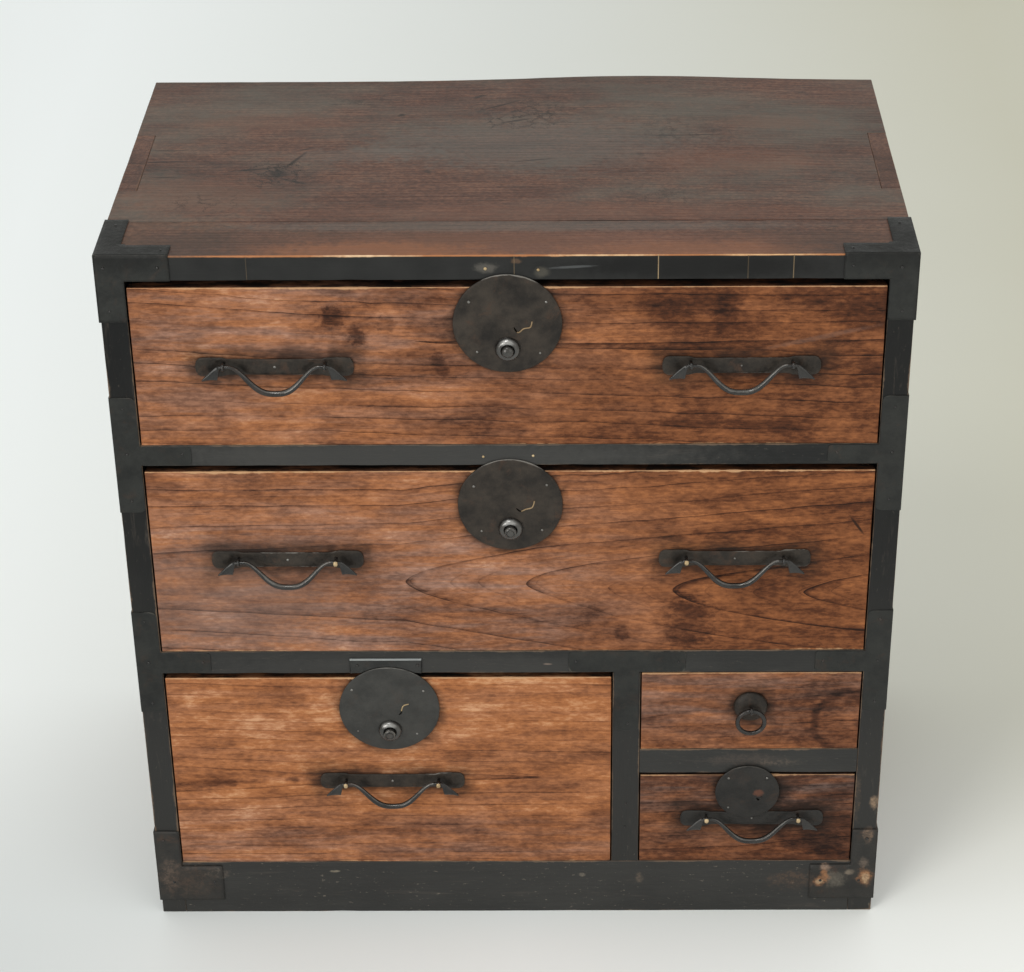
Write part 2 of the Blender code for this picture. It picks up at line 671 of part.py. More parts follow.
def make_lock(name, drawer, host):
    """A round plate on the drawer front. Its button pushes a wedge under the bolt, which rises."""
    parent = drawer["empty"]
    front = drawer["front"]
    x = drawer["x"]
    z = drawer["top"] - LOCK_DROP
    button_z = z - BUTTON_DROP
    back = FRONT_Y - FIT
    face = back - LOCK_THICKNESS
    plate = lock_disc(f"{name}_lock_plate", x, z, LOCK_DIAMETER, back, parent)
    boss_profile = [
        (back - LOCK_THICKNESS / 2, BOSS_DIAMETER / 2),
        (face, BOSS_DIAMETER / 2),
        (face - BOSS_HEIGHT / 2, BOSS_WAIST_DIAMETER / 2),
        (face - BOSS_HEIGHT, BOSS_TOP_DIAMETER / 2),
    ]
    fuse(plate, turned_y(f"{name}_lock_boss", x, button_z, boss_profile, SMALL_SIDES))
    radius = BUTTON_DIAMETER / 2
    hole = [(back + CUT_OVERRUN, radius + FIT), (face - BOSS_HEIGHT - CUT_OVERRUN, radius + FIT)]
    cut(plate, turned_y(f"{name}_lock_hole", x, button_z, hole, SMALL_SIDES))
    keyhole(plate, x, z, back)

    body = BODY_DIAMETER / 2
    body_start = FRONT_Y + FIT
    wedge_y = body_start + BODY_RIM
    wedge_end = wedge_y + WEDGE_LENGTH
    slope = BOLT_LIFT / BUTTON_TRAVEL
    tip = face - BUTTON_REACH
    round_centre = (tip + BUTTON_ROUND, radius - BUTTON_ROUND)
    profile = arc(round_centre, BUTTON_ROUND, math.pi, math.pi / 2, ROUND_STEPS)
    profile += [(body_start, radius), (body_start, body), (wedge_end, body)]
    axis = (x, FRONT_Y, button_z)
    button_name = f"{name}_lock_button"
    button = turned_y(button_name, x, button_z, profile, SMALL_SIDES, STEEL, parent, axis)

    def wedge_z(y):
        return button_z + body - slope * (y - wedge_y)

    high_y = wedge_y - CUT_OVERRUN
    low_y = wedge_end + CUT_OVERRUN
    wedge = [(high_y, wedge_z(high_y)), (low_y, wedge_z(low_y)), (low_y, wedge_z(high_y))]
    side = body + CUT_OVERRUN
    cut(button, prism_x(f"{button_name}_wedge", wedge, x - side, x + side))

    lift_gap = FIT * math.hypot(1, slope)
    near = wedge_y + FIT
    far = near + BOLT_THICKNESS
    bolt_top = drawer["top"] + BOLT_PROUD
    foot = wedge_z(far) + lift_gap
    bolt_outline = [(near, wedge_z(near) + lift_gap), (far, foot), (far, bolt_top), (near, bolt_top)]
    half = BOLT_WIDTH / 2
    bolt_name = f"{name}_lock_bolt"
    bolt_origin = (x, near, bolt_top)
    prism_x(bolt_name, bolt_outline, x - half, x + half, STEEL, parent, bolt_origin)

    slot_low = (x - half - FIT, FRONT_Y - CUT_OVERRUN, foot - FIT)
    slot_high = (x + half + FIT, far + FIT, bolt_top + CUT_OVERRUN)
    cut(front, box(f"{bolt_name}_slot", slot_low, slot_high))
    pocket_low = (x - body - FIT, FRONT_Y - CUT_OVERRUN, button_z - body - FIT)
    pocket_high = (x + body + FIT, wedge_end + BUTTON_TRAVEL + FIT, button_z + body + FIT)
    cut(front, box(f"{button_name}_pocket", pocket_low, pocket_high))
    socket_low = (x - half - BOLT_ROOM, near - BOLT_ROOM, drawer["top"])
    socket_high = (x + half + BOLT_ROOM, far + BOLT_ROOM, bolt_top + BOLT_LIFT + BOLT_ROOM)
    cut(host, box(f"{bolt_name}_socket", socket_low, socket_high))


def make_small_lock(drawer):
    """A small key lock whose plate laps over the handle plate below it."""
    x = drawer["x"]
    z = drawer["top"] - SMALL_LOCK_DROP
    back = FRONT_Y - FIT - PLATE_THICKNESS - FIT
    plate = lock_disc("small_lock_plate", x, z, SMALL_LOCK_DIAMETER, back, drawer["empty"])
    half = SMALL_LOCK_CASE_WIDTH / 2
    foot = drawer["top"] - SMALL_LOCK_CASE_HEIGHT
    depth = FRONT_Y + SMALL_LOCK_CASE_DEPTH
    case_low = (x - half, back - LOCK_THICKNESS / 2, foot)
    fuse(plate, box("small_lock_case", case_low, (x + half, depth, drawer["top"] - FIT)))
    room_low = (x - half - FIT, FRONT_Y - CUT_OVERRUN, foot - FIT)
    room_high = (x + half + FIT, depth + FIT, drawer["top"] + CUT_OVERRUN)
    cut(drawer["front"], box("small_lock_room", room_low, room_high))


# The chest

chest = add_empty("chest", (0, 0, 0))
lock_hosts = make_case(chest)
make_corner_irons(chest)

top = make_drawer("top_drawer", -INNER_X, INNER_X, TOP_FOOT, TOP_HEAD, TOP_HEADROOM, chest)
middle = make_drawer(
    "middle_drawer", -INNER_X, INNER_X, MIDDLE_FOOT, MIDDLE_HEAD, MIDDLE_HEADROOM, chest
)
lower = make_drawer("lower_drawer", -INNER_X, POST_LEFT, LOWER_FOOT, LOWER_HEAD, LOWER_HEADROOM, chest)
small_upper = make_drawer(
    "small_upper_drawer", POST_RIGHT, INNER_X, SMALL_FOOT, LOWER_HEAD, SMALL_UPPER_HEADROOM, chest
)
small_lower = make_drawer(
    "small_lower_drawer", POST_RIGHT, INNER_X, LOWER_FOOT, SMALL_HEAD, SMALL_LOWER_HEADROOM, chest
)

paired_handles = (
    ("top", top, TOP_HANDLE_RISE, TOP_BAIL_LIFT),
    ("middle", middle, MIDDLE_HANDLE_RISE, MIDDLE_BAIL_LIFT),
)
for word, drawer, rise, lift in paired_handles:
    offset = drawer["half"] - SIDE_HANDLE_INSET
    make_handle(f"{word}_left", drawer, -offset, rise, lift)
    make_handle(f"{word}_right", drawer, offset, rise, lift)
make_handle("lower", lower, 0, LOWER_HANDLE_RISE, LOWER_BAIL_LIFT)
make_handle("small_lower", small_lower, SMALL_HANDLE_OFFSET, SMALL_HANDLE_RISE, SMALL_BAIL_LIFT)
make_ring_pull(small_upper)

make_lock("top", top, lock_hosts["top_drawer"])
make_lock("middle", middle, lock_hosts["middle_drawer"])
make_lock("lower", lower, lock_hosts["lower_drawer"])
make_small_lock(small_lower)
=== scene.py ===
import json
import math

import bmesh
import bpy
from mathutils import Matrix, Vector, noise


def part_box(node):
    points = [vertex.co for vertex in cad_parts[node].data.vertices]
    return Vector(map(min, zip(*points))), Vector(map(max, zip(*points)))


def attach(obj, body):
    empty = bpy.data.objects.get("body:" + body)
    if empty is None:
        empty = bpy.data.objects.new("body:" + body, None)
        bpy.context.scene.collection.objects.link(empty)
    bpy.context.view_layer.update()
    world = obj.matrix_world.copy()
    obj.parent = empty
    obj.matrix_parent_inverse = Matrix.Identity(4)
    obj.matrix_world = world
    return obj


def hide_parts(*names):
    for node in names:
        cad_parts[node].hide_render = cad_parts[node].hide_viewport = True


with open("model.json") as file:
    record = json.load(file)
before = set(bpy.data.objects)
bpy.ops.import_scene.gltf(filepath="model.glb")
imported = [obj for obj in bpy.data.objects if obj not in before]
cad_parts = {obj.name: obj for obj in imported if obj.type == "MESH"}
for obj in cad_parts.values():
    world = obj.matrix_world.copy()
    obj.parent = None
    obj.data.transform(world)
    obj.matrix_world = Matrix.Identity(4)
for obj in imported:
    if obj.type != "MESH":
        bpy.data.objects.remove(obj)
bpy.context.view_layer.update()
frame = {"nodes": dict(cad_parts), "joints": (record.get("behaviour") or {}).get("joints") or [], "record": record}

record = frame["record"]
bodyOfNode = {node: body for body, nodes in record["behaviour"]["bodies"].items() for node in nodes}
jointOf = {joint["child"]: joint for joint in frame["joints"]}
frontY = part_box("left_stile")[0].y  # the plane of the whole front
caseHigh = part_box("top_front_board")[1]
halfWidth, topZ = caseHigh.x, caseHigh.z
mm = 0.001
noWear = 0.02  # an edge gap too wide to be worn
plateGap = 0.0003  # between a plate and the wood behind it
canvas = {}  # holds the node tree that is being built


# shader building

def feed(value, socket):
    if isinstance(value, bpy.types.NodeSocket):
        canvas["tree"].links.new(value, socket)
    else:
        socket.default_value = (*value, 1.0) if socket.type == "RGBA" else value


def made(kind, values=(), output=0, **settings):
    node = canvas["tree"].nodes.new(kind)
    for key, value in settings.items():
        setattr(node, key, value)
    for place, value in values.items() if isinstance(values, dict) else enumerate(values):
        feed(value, node.inputs[place])
    return node.outputs[output]


def calc(operation, *values):
    return made("ShaderNodeMath", values, operation=operation)


def times(first, second):
    return calc("MULTIPLY", first, second)


def minus(first, second):
    return calc("SUBTRACT", first, second)


def plus(mask, weight, start):
    return calc("MULTIPLY_ADD", mask, weight, start)


def between(value, low, high, toLow=0.0, toHigh=1.0):
    return made("ShaderNodeMapRange", (value, low, high, toLow, toHigh), interpolation_type="SMOOTHSTEP")


def placed(vector, scale=(1, 1, 1), shift=(0, 0, 0)):
    return made("ShaderNodeMapping", {"Vector": vector, "Location": shift, "Scale": scale})


def speckle(vector, scale=1.0, detail=2.0, rough=0.5, twist=0.0):
    values = {"Vector": vector, "Scale": scale, "Detail": detail, "Roughness": rough, "Distortion": twist}
    return made("ShaderNodeTexNoise", values, "Fac")


def streaks(vector, scale, detail, rough, twist, *limits):
    return between(speckle(placed(vector, scale), 1.0, detail, rough, twist), *limits)


def lengthOf(vector):
    return made("ShaderNodeVectorMath", (vector,), "Value", operation="LENGTH")


def tint(amount, under, over, blend="MIX"):
    return made("ShaderNodeMix", {0: amount, 6: under, 7: over}, 2, data_type="RGBA", blend_type=blend)


def ramp(value, stops):
    colour = made("ShaderNodeValToRGB", (value,))
    band = colour.node.color_ramp.elements
    band[0].color, band[1].color = (*stops[0][1], 1.0), (*stops[-1][1], 1.0)
    for place, shade in stops[1:-1]:
        band.new(place).color = (*shade, 1.0)
    return colour


def apart(vector):
    return made("ShaderNodeSeparateXYZ", (vector,)).node.outputs


def objectPoint(grain="x"):
    # the grain always runs along the first axis
    point = made("ShaderNodeTexCoord", output="Object")
    if grain == "x":
        return point
    axes = apart(point)
    order = {"z": (2, 1, 0), "side": (2, 0, 1), "y": (1, 0, 2), "flat": (0, 2, 1)}[grain]
    return made("ShaderNodeCombineXYZ", [axes[index] for index in order])


def vertexMask(name):
    return made("ShaderNodeAttribute", output="Fac", attribute_name=name)


def yearly(count, pace):
    # the years were not all alike
    return made("ShaderNodeTexNoise", {"W": times(count, pace), "Scale": 1.0}, "Fac", noise_dimensions="1D")


def growthLines(point, tipX, tipZ, slope, spread, origin, spacing, wobble):
    x, y, z = apart(point)
    slow = minus(speckle(placed(point, (4, 4, 8)), 1.0, 1.5), 0.5)
    quick = minus(speckle(placed(point, (24, 24, 55))), 0.5)
    bend = times(plus(quick, 0.17, slow), wobble)
    ahead = minus(x, tipX)
    rise = calc("ADD", minus(z, plus(ahead, slope, tipZ)), bend)
    sense = calc("SIGN", minus(tipX, origin))
    past = times(calc("MAXIMUM", times(ahead, sense), 0.0), times(sense, -0.78))
    run = times(minus(calc("ADD", x, past), origin), spread)  # past the tip the lines run on nearly straight
    sharp = 1.6  # two would give round tips
    powers = [calc("POWER", calc("ABSOLUTE", part), sharp) for part in (rise, run)]
    even = calc("DIVIDE", calc("POWER", calc("ADD", *powers), 1 / sharp), spacing)
    count = plus(yearly(even, 0.45), 1.5, even)
    share = calc("FRACT", count)
    return calc("POWER", share, 22.0), calc("POWER", share, 2.2), yearly(count, 0.8)


def fibres(point):
    return (streaks(point, (11, 380, 380), 4.0, 0.62, 0.3, 0.3, 0.72),
            streaks(point, (3, 42, 42), 3.0, 0.55, 0.0, 0.3, 0.7),
            streaks(point, (55, 850, 850), 2.0, 0.5, 0.0, 0.6, 0.72))


def wornEdge(point, gap, reach, ragged):
    small = between(speckle(point, 95.0, 3.0, 0.6), 0.3, 0.7, 0.3, 1.5)
    large = between(speckle(point, 15.0), 0.36, 0.66, 0.25, 1.5)
    limit = times(plus(minus(times(large, small), 1.0), ragged, 1.0), reach)
    return [between(gap, limit, times(limit, 0.25))]


def patch(point, centre, size, turn, ragged, flaked):
    away = lengthOf(made("ShaderNodeMapping", (point, centre, turn, size), vector_type="TEXTURE"))
    reach = plus(minus(speckle(point, 115.0, 5.0, 0.68), 0.5), ragged, away)
    flakes = between(speckle(point, 260.0, 5.0, 0.7, 0.3), 0.46, 0.58)
    return [times(between(reach, 1.0, 0.35), plus(minus(flakes, 1.0), flaked, 1.0))]


def ironSkin(point, rust):
    blotch = speckle(point, 40.0, 6.0, 0.72)
    hammer = speckle(point, 210.0)
    pits = speckle(point, 800.0, 3.0, 0.6)
    spots = between(speckle(point, 60.0, 5.0, 0.66, 0.4), 0.54, 0.72)
    gloss = between(plus(pits, 0.5, blotch), 0.5, 1.0, 0.36, 0.6)
    return between(blotch, 0.3, 0.7), times(spots, rust), plus(pits, 0.35, hammer), gloss


def buildGroup(build, inputs, outputs):
    tree = canvas["tree"] = bpy.data.node_groups.new(build.__name__, "ShaderNodeTree")
    for label in inputs:
        kind = "Vector" if label in ("Vector", "Centre", "Size", "Turn") else "Float"
        tree.interface.new_socket(label, in_out="INPUT", socket_type="NodeSocket" + kind)
    for label in outputs:
        tree.interface.new_socket(label, in_out="OUTPUT", socket_type="NodeSocketFloat")
    given = list(tree.nodes.new("NodeGroupInput").outputs)[:len(inputs)]
    result = tree.nodes.new("NodeGroupOutput").inputs
    for value, socket in zip(build(*given), result):
        feed(value, socket)


for build, inputs, outputs in (
        (growthLines, "Vector TipX TipZ Slope Spread Origin Spacing Wobble", "Line Shade Tone"),
        (fibres, "Vector", "Fine Band Pore"), (wornEdge, "Vector Gap Reach Ragged", "Mask"),
        (patch, "Vector Centre Size Turn Ragged Flaked", "Mask"),
        (ironSkin, "Vector Rust", "Tone Rust Height Gloss")):
    buildGroup(build, inputs.split(), outputs.split())
print("shader groups built")


# finishes

def useGroup(name, *values):
    return made("ShaderNodeGroup", values, node_tree=bpy.data.node_groups[name]).node.outputs


def newMaterial(name, sockets):
    material = bpy.data.materials.new(name)
    material.use_nodes = True
    canvas["tree"] = material.node_tree
    for label, value in sockets.items():
        material.node_tree.nodes["Principled BSDF"].inputs[label].default_value = value
    return material


def coated(material, colour, gloss, height, depth):
    bump = made("ShaderNodeBump", {"Distance": depth, "Height": height})
    for label, value in (("Base Color", colour), ("Roughness", gloss), ("Normal", bump)):
        feed(value, material.node_tree.nodes["Principled BSDF"].inputs[label])
    return material


def spot(point, face, x, up, halfX, halfUp, turn=0, ragged=0.9, flaked=0.0):
    # a place on the front or the top, in millimetres and degrees
    if face == "front":
        centre, size = (x * mm, frontY, up * mm), (halfX * mm, 0.2, halfUp * mm)
        way = (0, math.radians(-turn), 0)
    else:
        centre, size = (x * mm, up * mm, topZ), (halfX * mm, halfUp * mm, 0.02)
        way = (0, 0, math.radians(turn))
    return useGroup("patch", point, centre, size, way, ragged, flaked)[0]


def marked(point, colour, face, marks):
    # marks are x, up, half sizes, colour, strength, turn, raggedness and flaking
    for x, up, halfX, halfUp, stain, strength, *form in marks:
        colour = tint(times(spot(point, face, x, up, halfX, halfUp, *form), strength), colour, stain)
    return colour


def toned(point, tone, x, z, halfX, halfZ, amount, turn=0, ragged=1.4):
    # a lighter or darker place in the wood of a front
    return plus(spot(point, "front", x, z, halfX, halfZ, turn, ragged), amount, tone)


def worn(point, colour, reach, ragged, strength, over):
    edge = useGroup("wornEdge", point, vertexMask("edgeGap"), reach, ragged)[0]
    return tint(times(edge, strength), colour, over)


def layered(tone, *layers):
    # adds masks to a tone, each counted from its middle
    for mask, weight in layers:
        tone = plus(minus(mask, 0.5), weight, tone)
    return tone


def taken(tone, *layers):
    # takes masks off a tone
    for mask, weight in layers:
        tone = plus(mask, -weight, tone)
    return tone


nearBlack = (0.012, 0.01, 0.0085)
rubbedTan = (0.5, 0.29, 0.15)
# greyish mauve of the painted sheen on the fronts
sheenMauve = (0.158, 0.104, 0.085)
sheenHue = (1.42, 0.93, 0.77)
drawerTones = ((0.0, (0.022, 0.0098, 0.0068)), (0.25, (0.09, 0.031, 0.0135)), (0.5, (0.213, 0.077, 0.0295)),
               (0.75, (0.372, 0.139, 0.049)), (1.0, (0.56, 0.29, 0.14)))


def drawerWood(name, look):
    material = newMaterial(name, {"Specular IOR Level": 0.08})
    point = objectPoint()
    moved = placed(point, shift=look["shift"])
    x, y, z = apart(point)
    rings = look["rings"]
    lines, shade, years = useGroup("growthLines", point, *rings)
    thin = useGroup("growthLines", point, *rings[:5], rings[5] * 0.31, rings[6] * 1.3)[0]
    fine, band, pore = useGroup("fibres", moved)
    cloud = streaks(moved, (7, 10, 17), 3.0, 0.55, 0.5, 0.33, 0.67)
    smudge = streaks(moved, (19, 30, 40), 4.0, 0.62, 0.6, 0.36, 0.66)
    mottle = streaks(moved, (24, 80, 80), 5.0, 0.72, 0.1, 0.34, 0.68)
    flake = streaks(moved, (150, 340, 340), 4.0, 0.7, 0.05, 0.32, 0.68)
    broken = streaks(moved, (9, 14, 34), 3.0, 0.6, 0.0, 0.38, 0.6, 0.25, 1.0)
    line = times(lines, broken)
    # each front is made darker towards the right
    darkStart, darkEnd, darkToRight = look["darkToRight"]
    side = between(x, darkStart, darkEnd)
    tone = layered(look["level"], (cloud, 0.15), (smudge, look["smudge"]), (mottle, look["mottle"]),
                   (flake, 0.2), (years, 0.18), (fine, -0.1), (band, -0.06))
    tone = taken(tone, (line, look["line"]), (shade, 0.045), (times(thin, broken), 0.2), (pore, 0.13),
                 (side, darkToRight))
    for row in look["tones"]:
        tone = toned(point, tone, *row)
    if "dampRing" in look:  # left by something round
        ringX, ringZ, radius, strength = look["dampRing"]
        away = lengthOf(placed(point, (1 / radius, 0, 1 / radius), (-ringX / radius, 0, -ringZ / radius)))
        away = layered(away, (speckle(point, 50.0, 3.0), 0.3))
        ring = between(calc("ABSOLUTE", minus(away, 1.0)), 0.17, 0.02)
        tone = taken(tone, (ring, strength), (between(away, 1.0, 0.9), strength * 0.2))
    colour = ramp(tone, drawerTones)
    sheenLow, sheenHigh, amount, rightShare = look["paintedSheen"]
    paintedSheen = times(streaks(moved, (10, 85, 85), 5.0, 0.68, 0.3, 0.36, 0.68, 0.2, 1.0),
                 between(z, sheenLow, sheenHigh, 0.35, 1.0))
    paintedSheen = times(paintedSheen, between(side, 0.0, 1.0, 1.0, rightShare))
    greyedBySheen = tint(1.0, made("ShaderNodeRGBToBW", (colour,)), sheenHue, "MULTIPLY")
    colour = tint(times(paintedSheen, amount), colour, greyedBySheen)  # painted sheen greys the wood, and its lines still show
    colour = marked(point, colour, "front", look["marks"])
    # nearly black over the iron stains round the plates, and as painted shade on the top face of the front
    colour = tint(times(vertexMask("stain"), between(mottle, 0.0, 1.0, 1.0, 0.55)), colour, nearBlack)
    colour = worn(moved, colour, look["edgeReach"], 0.85, look["edge"], rubbedTan)
    gloss = plus(line, 0.15, between(cloud, 0.0, 1.0, 0.42, 0.54))
    return coated(material, colour, gloss, plus(line, -1.0, times(fine, -0.35)), 0.0003)


# rings are the tip's x and z, slope, spread, origin, spacing and wobble
# the painted sheen is from and to which height, how much, and what is left of it at the right
# tones are x, z, half sizes, amount, turn and raggedness
drawerLooks = {
    "top_drawer": {
        "level": 0.6, "mottle": 0.13, "smudge": 0.19, "line": 0.46, "edgeReach": 0.0015, "edge": 0.85,
        "darkToRight": (-0.2, 0.24, 0.24), "shift": (0.0, 0.0, 0.0), "paintedSheen": (0.45, 0.6, 0.66, 0.12),
        "rings": (0.2, 0.583, -0.035, 0.025, 0.7, 0.0125, 0.024),
        "tones": (
            (-128, 608, 36, 26, -0.13, 20, 1.8), (-113, 613, 20, 10, 0.13, 0, 1.7),
            (-141, 612, 14, 12, -0.27, 25, 2), (-122, 596, 13, 10, -0.26, -30, 1.9),
            (-97, 605, 11, 9, -0.2, 30, 1.9), (-129, 603, 7, 13, 0.14, 35, 1.5),
            (-95, 617, 14, 9, 0.1, 0, 1.7), (-56, 568, 9, 16, -0.2, 20, 1.8), (-240, 578, 70, 15, 0.07),
            (-60, 545, 70, 17, 0.07), (95, 600, 44, 18, 0.1), (209, 619, 40, 15, 0.15),
            (175, 612, 14, 28, -0.16), (130, 612, 26, 16, -0.08), (224, 582, 22, 8, 0.14),
            (120, 530, 40, 14, 0.07)),
        "marks": ((250, 592, 62, 3, sheenMauve, 0.3, 13, 0.9),)},
    "middle_drawer": {
        "level": 0.625, "mottle": 0.13, "smudge": 0.15, "line": 0.5, "edgeReach": 0.0017, "edge": 0.95,
        "darkToRight": (-0.08, 0.26, 0.21), "shift": (0.7, 0.0, 0.3), "paintedSheen": (0.5, 0.36, 0.74, 0.0),
        "rings": (-0.091, 0.358, -0.03, 0.133, 0.5736, 0.014, 0.022),
        "tones": (
            (150, 318, 30, 36, -0.24, -10, 1.6), (68, 322, 26, 11, -0.13, 5), (94, 308, 9, 13, -0.2, 10),
            (20, 345, 90, 18, 0.07), (-200, 425, 80, 17, 0.06), (180, 420, 80, 14, 0.06),
            (-66, 358, 34, 10, 0.1), (-30, 378, 34, 11, 0.08), (-200, 330, 40, 22, -0.08, 0, 1.8)),
        "marks": (
            (290, 415, 1.6, 15, (0.02, 0.011, 0.008), 0.9, 35, 0.4),
            (-235, 345, 130, 80, sheenMauve, 0.35, 0, 1.4))},
    "lower_drawer": {
        "level": 0.7, "mottle": 0.2, "smudge": 0.17, "line": 0.36, "edgeReach": 0.0017, "edge": 0.95,
        "darkToRight": (-0.06, 0.06, 0.065), "shift": (1.9, 0.0, 1.1), "paintedSheen": (0.13, 0.08, 0.55, 0.8),
        "rings": (-0.197, 0.151, 0.0, 0.05, -0.577, 0.0095, 0.015),
        "tones": (
            (-197, 151, 8, 5, -0.34, 0, 1.0), (-110, 86, 230, 54, -0.13, 0, 0.7),
            (40, 150, 30, 40, -0.08, 10), (-230, 215, 60, 28, 0.05), (20, 225, 50, 24, 0.08),
            (-264, 147, 52, 6, -0.2, 2, 1.2)),
        "marks": ()},
    "small_upper_drawer": {
        "level": 0.56, "mottle": 0.1, "smudge": 0.25, "line": 0.24, "edgeReach": 0.0013, "edge": 0.75,
        "darkToRight": (0.17, 0.3, 0.12), "shift": (3.1, 0.0, 2.3), "paintedSheen": (0.19, 0.22, 0.7, 1.0),
        "rings": (0.1, 0.21, 0.09, 0.04, 0.7, 0.011, 0.02), "dampRing": (0.296, 0.213, 0.033, 0.2),
        "tones": ((165, 222, 44, 18, 0.07), (140, 190, 34, 8, -0.14), (250, 200, 22, 20, -0.07)),
        "marks": ()},
    "small_lower_drawer": {
        "level": 0.375, "mottle": 0.09, "smudge": 0.2, "line": 0.2, "edgeReach": 0.0014, "edge": 0.7,
        "darkToRight": (0.16, 0.31, 0.12), "shift": (4.3, 0.0, 3.7), "paintedSheen": (0.1, 0.14, 1.0, 1.0),
        "rings": (0.2, 0.07, 0.03, 0.05, 0.6, 0.01, 0.018),
        "tones": (
            (252, 131, 17, 10, 0.2, 12), (150, 80, 34, 20, -0.12), (270, 80, 34, 18, -0.14),
            (135, 137, 24, 14, 0.1), (150, 125, 34, 10, 0.06)),
        "marks": ()},
}
greyDustAndSheen = (0.118, 0.111, 0.094)
redBrown = (0.175, 0.072, 0.04)
glowOrange = (0.36, 0.135, 0.05)
cornerShade = (0.04, 0.03, 0.025)
faceBlack = ((0.008, 0.0082, 0.008), (0.024, 0.024, 0.0225))
darkTones = ((0.0, (0.009, 0.0055, 0.0042)), (0.3, (0.036, 0.0165, 0.011)), (0.6, (0.088, 0.038, 0.0235)),
             (1.0, (0.2, 0.095, 0.055)))


def crazed(point, colour, zones):
    # lacquer crazed in places
    stir = made("ShaderNodeTexNoise", {"Vector": placed(point, (120, 120, 120))}, "Color")
    bent = made("ShaderNodeVectorMath", (stir, (0.009, 0.009, 0.009), point), operation="MULTIPLY_ADD")
    cells = {"Vector": bent, "Scale": 85.0}
    web = made("ShaderNodeTexVoronoi", cells, "Distance", feature="DISTANCE_TO_EDGE")
    crack = times(between(web, 0.085, 0.02), between(speckle(point, 70.0, 3.0), 0.4, 0.52))
    for x, y, halfX, halfY, strength, ragged in zones:
        zone = spot(point, "top", x, y, halfX, halfY, 0, ragged)
        colour = tint(times(crack, times(zone, strength)), colour, nearBlack)
    return colour


def blackFace(point, colour, marks):
    # the front edge of this plank is lacquered with the frame
    limit = between(speckle(point, 60.0, 4.0, 0.6), 0.3, 0.7, 0.0006, 0.0012)
    face = between(minus(minus(apart(point)[1], frontY), limit), 0.0002, -0.0002)
    black = marked(point, tint(speckle(point, 40.0, 4.0), *faceBlack), "front", marks)
    return tint(face, colour, black)


def darkWood(name, grain, look):
    material = newMaterial(name, {"Specular IOR Level": 0.2})
    point = objectPoint()
    along = objectPoint(grain)
    lines, shade, years = useGroup("growthLines", along, *look["rings"])
    fine, band, pore = useGroup("fibres", along)
    cloud = streaks(along, (4, 10, 10), 4.0, 0.6, 0.4, 0.33, 0.68)
    mottle = streaks(along, (24, 60, 60), 5.0, 0.7, 0.4, 0.35, 0.66)
    grains = streaks(along, (230, 330, 330), 4.0, 0.72, 0.0, 0.3, 0.7)
    fog = streaks(along, (5, 13, 13), 5.0, 0.7, 0.0, 0.4, 0.7)
    dash = streaks(along, (60, 260, 260), 3.0, 0.6, 0.4, 0.64, 0.72)
    line = times(lines, between(mottle, 0.0, 1.0, 0.3, 1.0))
    tone = layered(look["level"], (cloud, 0.18), (mottle, 0.14), (years, 0.08), (fine, -0.07), (band, -0.07),
                   (grains, 0.3))
    tone = taken(tone, (line, look["line"]), (shade, 0.07), (pore, 0.08), (dash, 0.3))
    # the fog pattern mixes in grey: dust, and painted sheen
    colour = tint(times(fog, look["fog"]), ramp(tone, darkTones), look["dustAndSheen"])
    colour = marked(point, colour, "top", look["marks"])
    if look["crazed"]:
        colour = crazed(point, colour, look["crazed"])
    if look["faceMarks"]:
        colour = blackFace(point, colour, look["faceMarks"])
    # the strip's worn front edge also carries painted highlights
    over = marked(point, look["edge"], "top", look["edgeWearAndHighlights"])
    colour = worn(point, colour, look["edgeReach"], look["edgeRagged"], look["edgeStrength"], over)
    colour = tint(vertexMask("bare"), colour, look["bare"])
    gloss = between(fog, 0.0, 1.0, 0.42, 0.56)
    return coated(material, colour, gloss, plus(line, -1.0, times(fine, -0.4)), 0.00025)


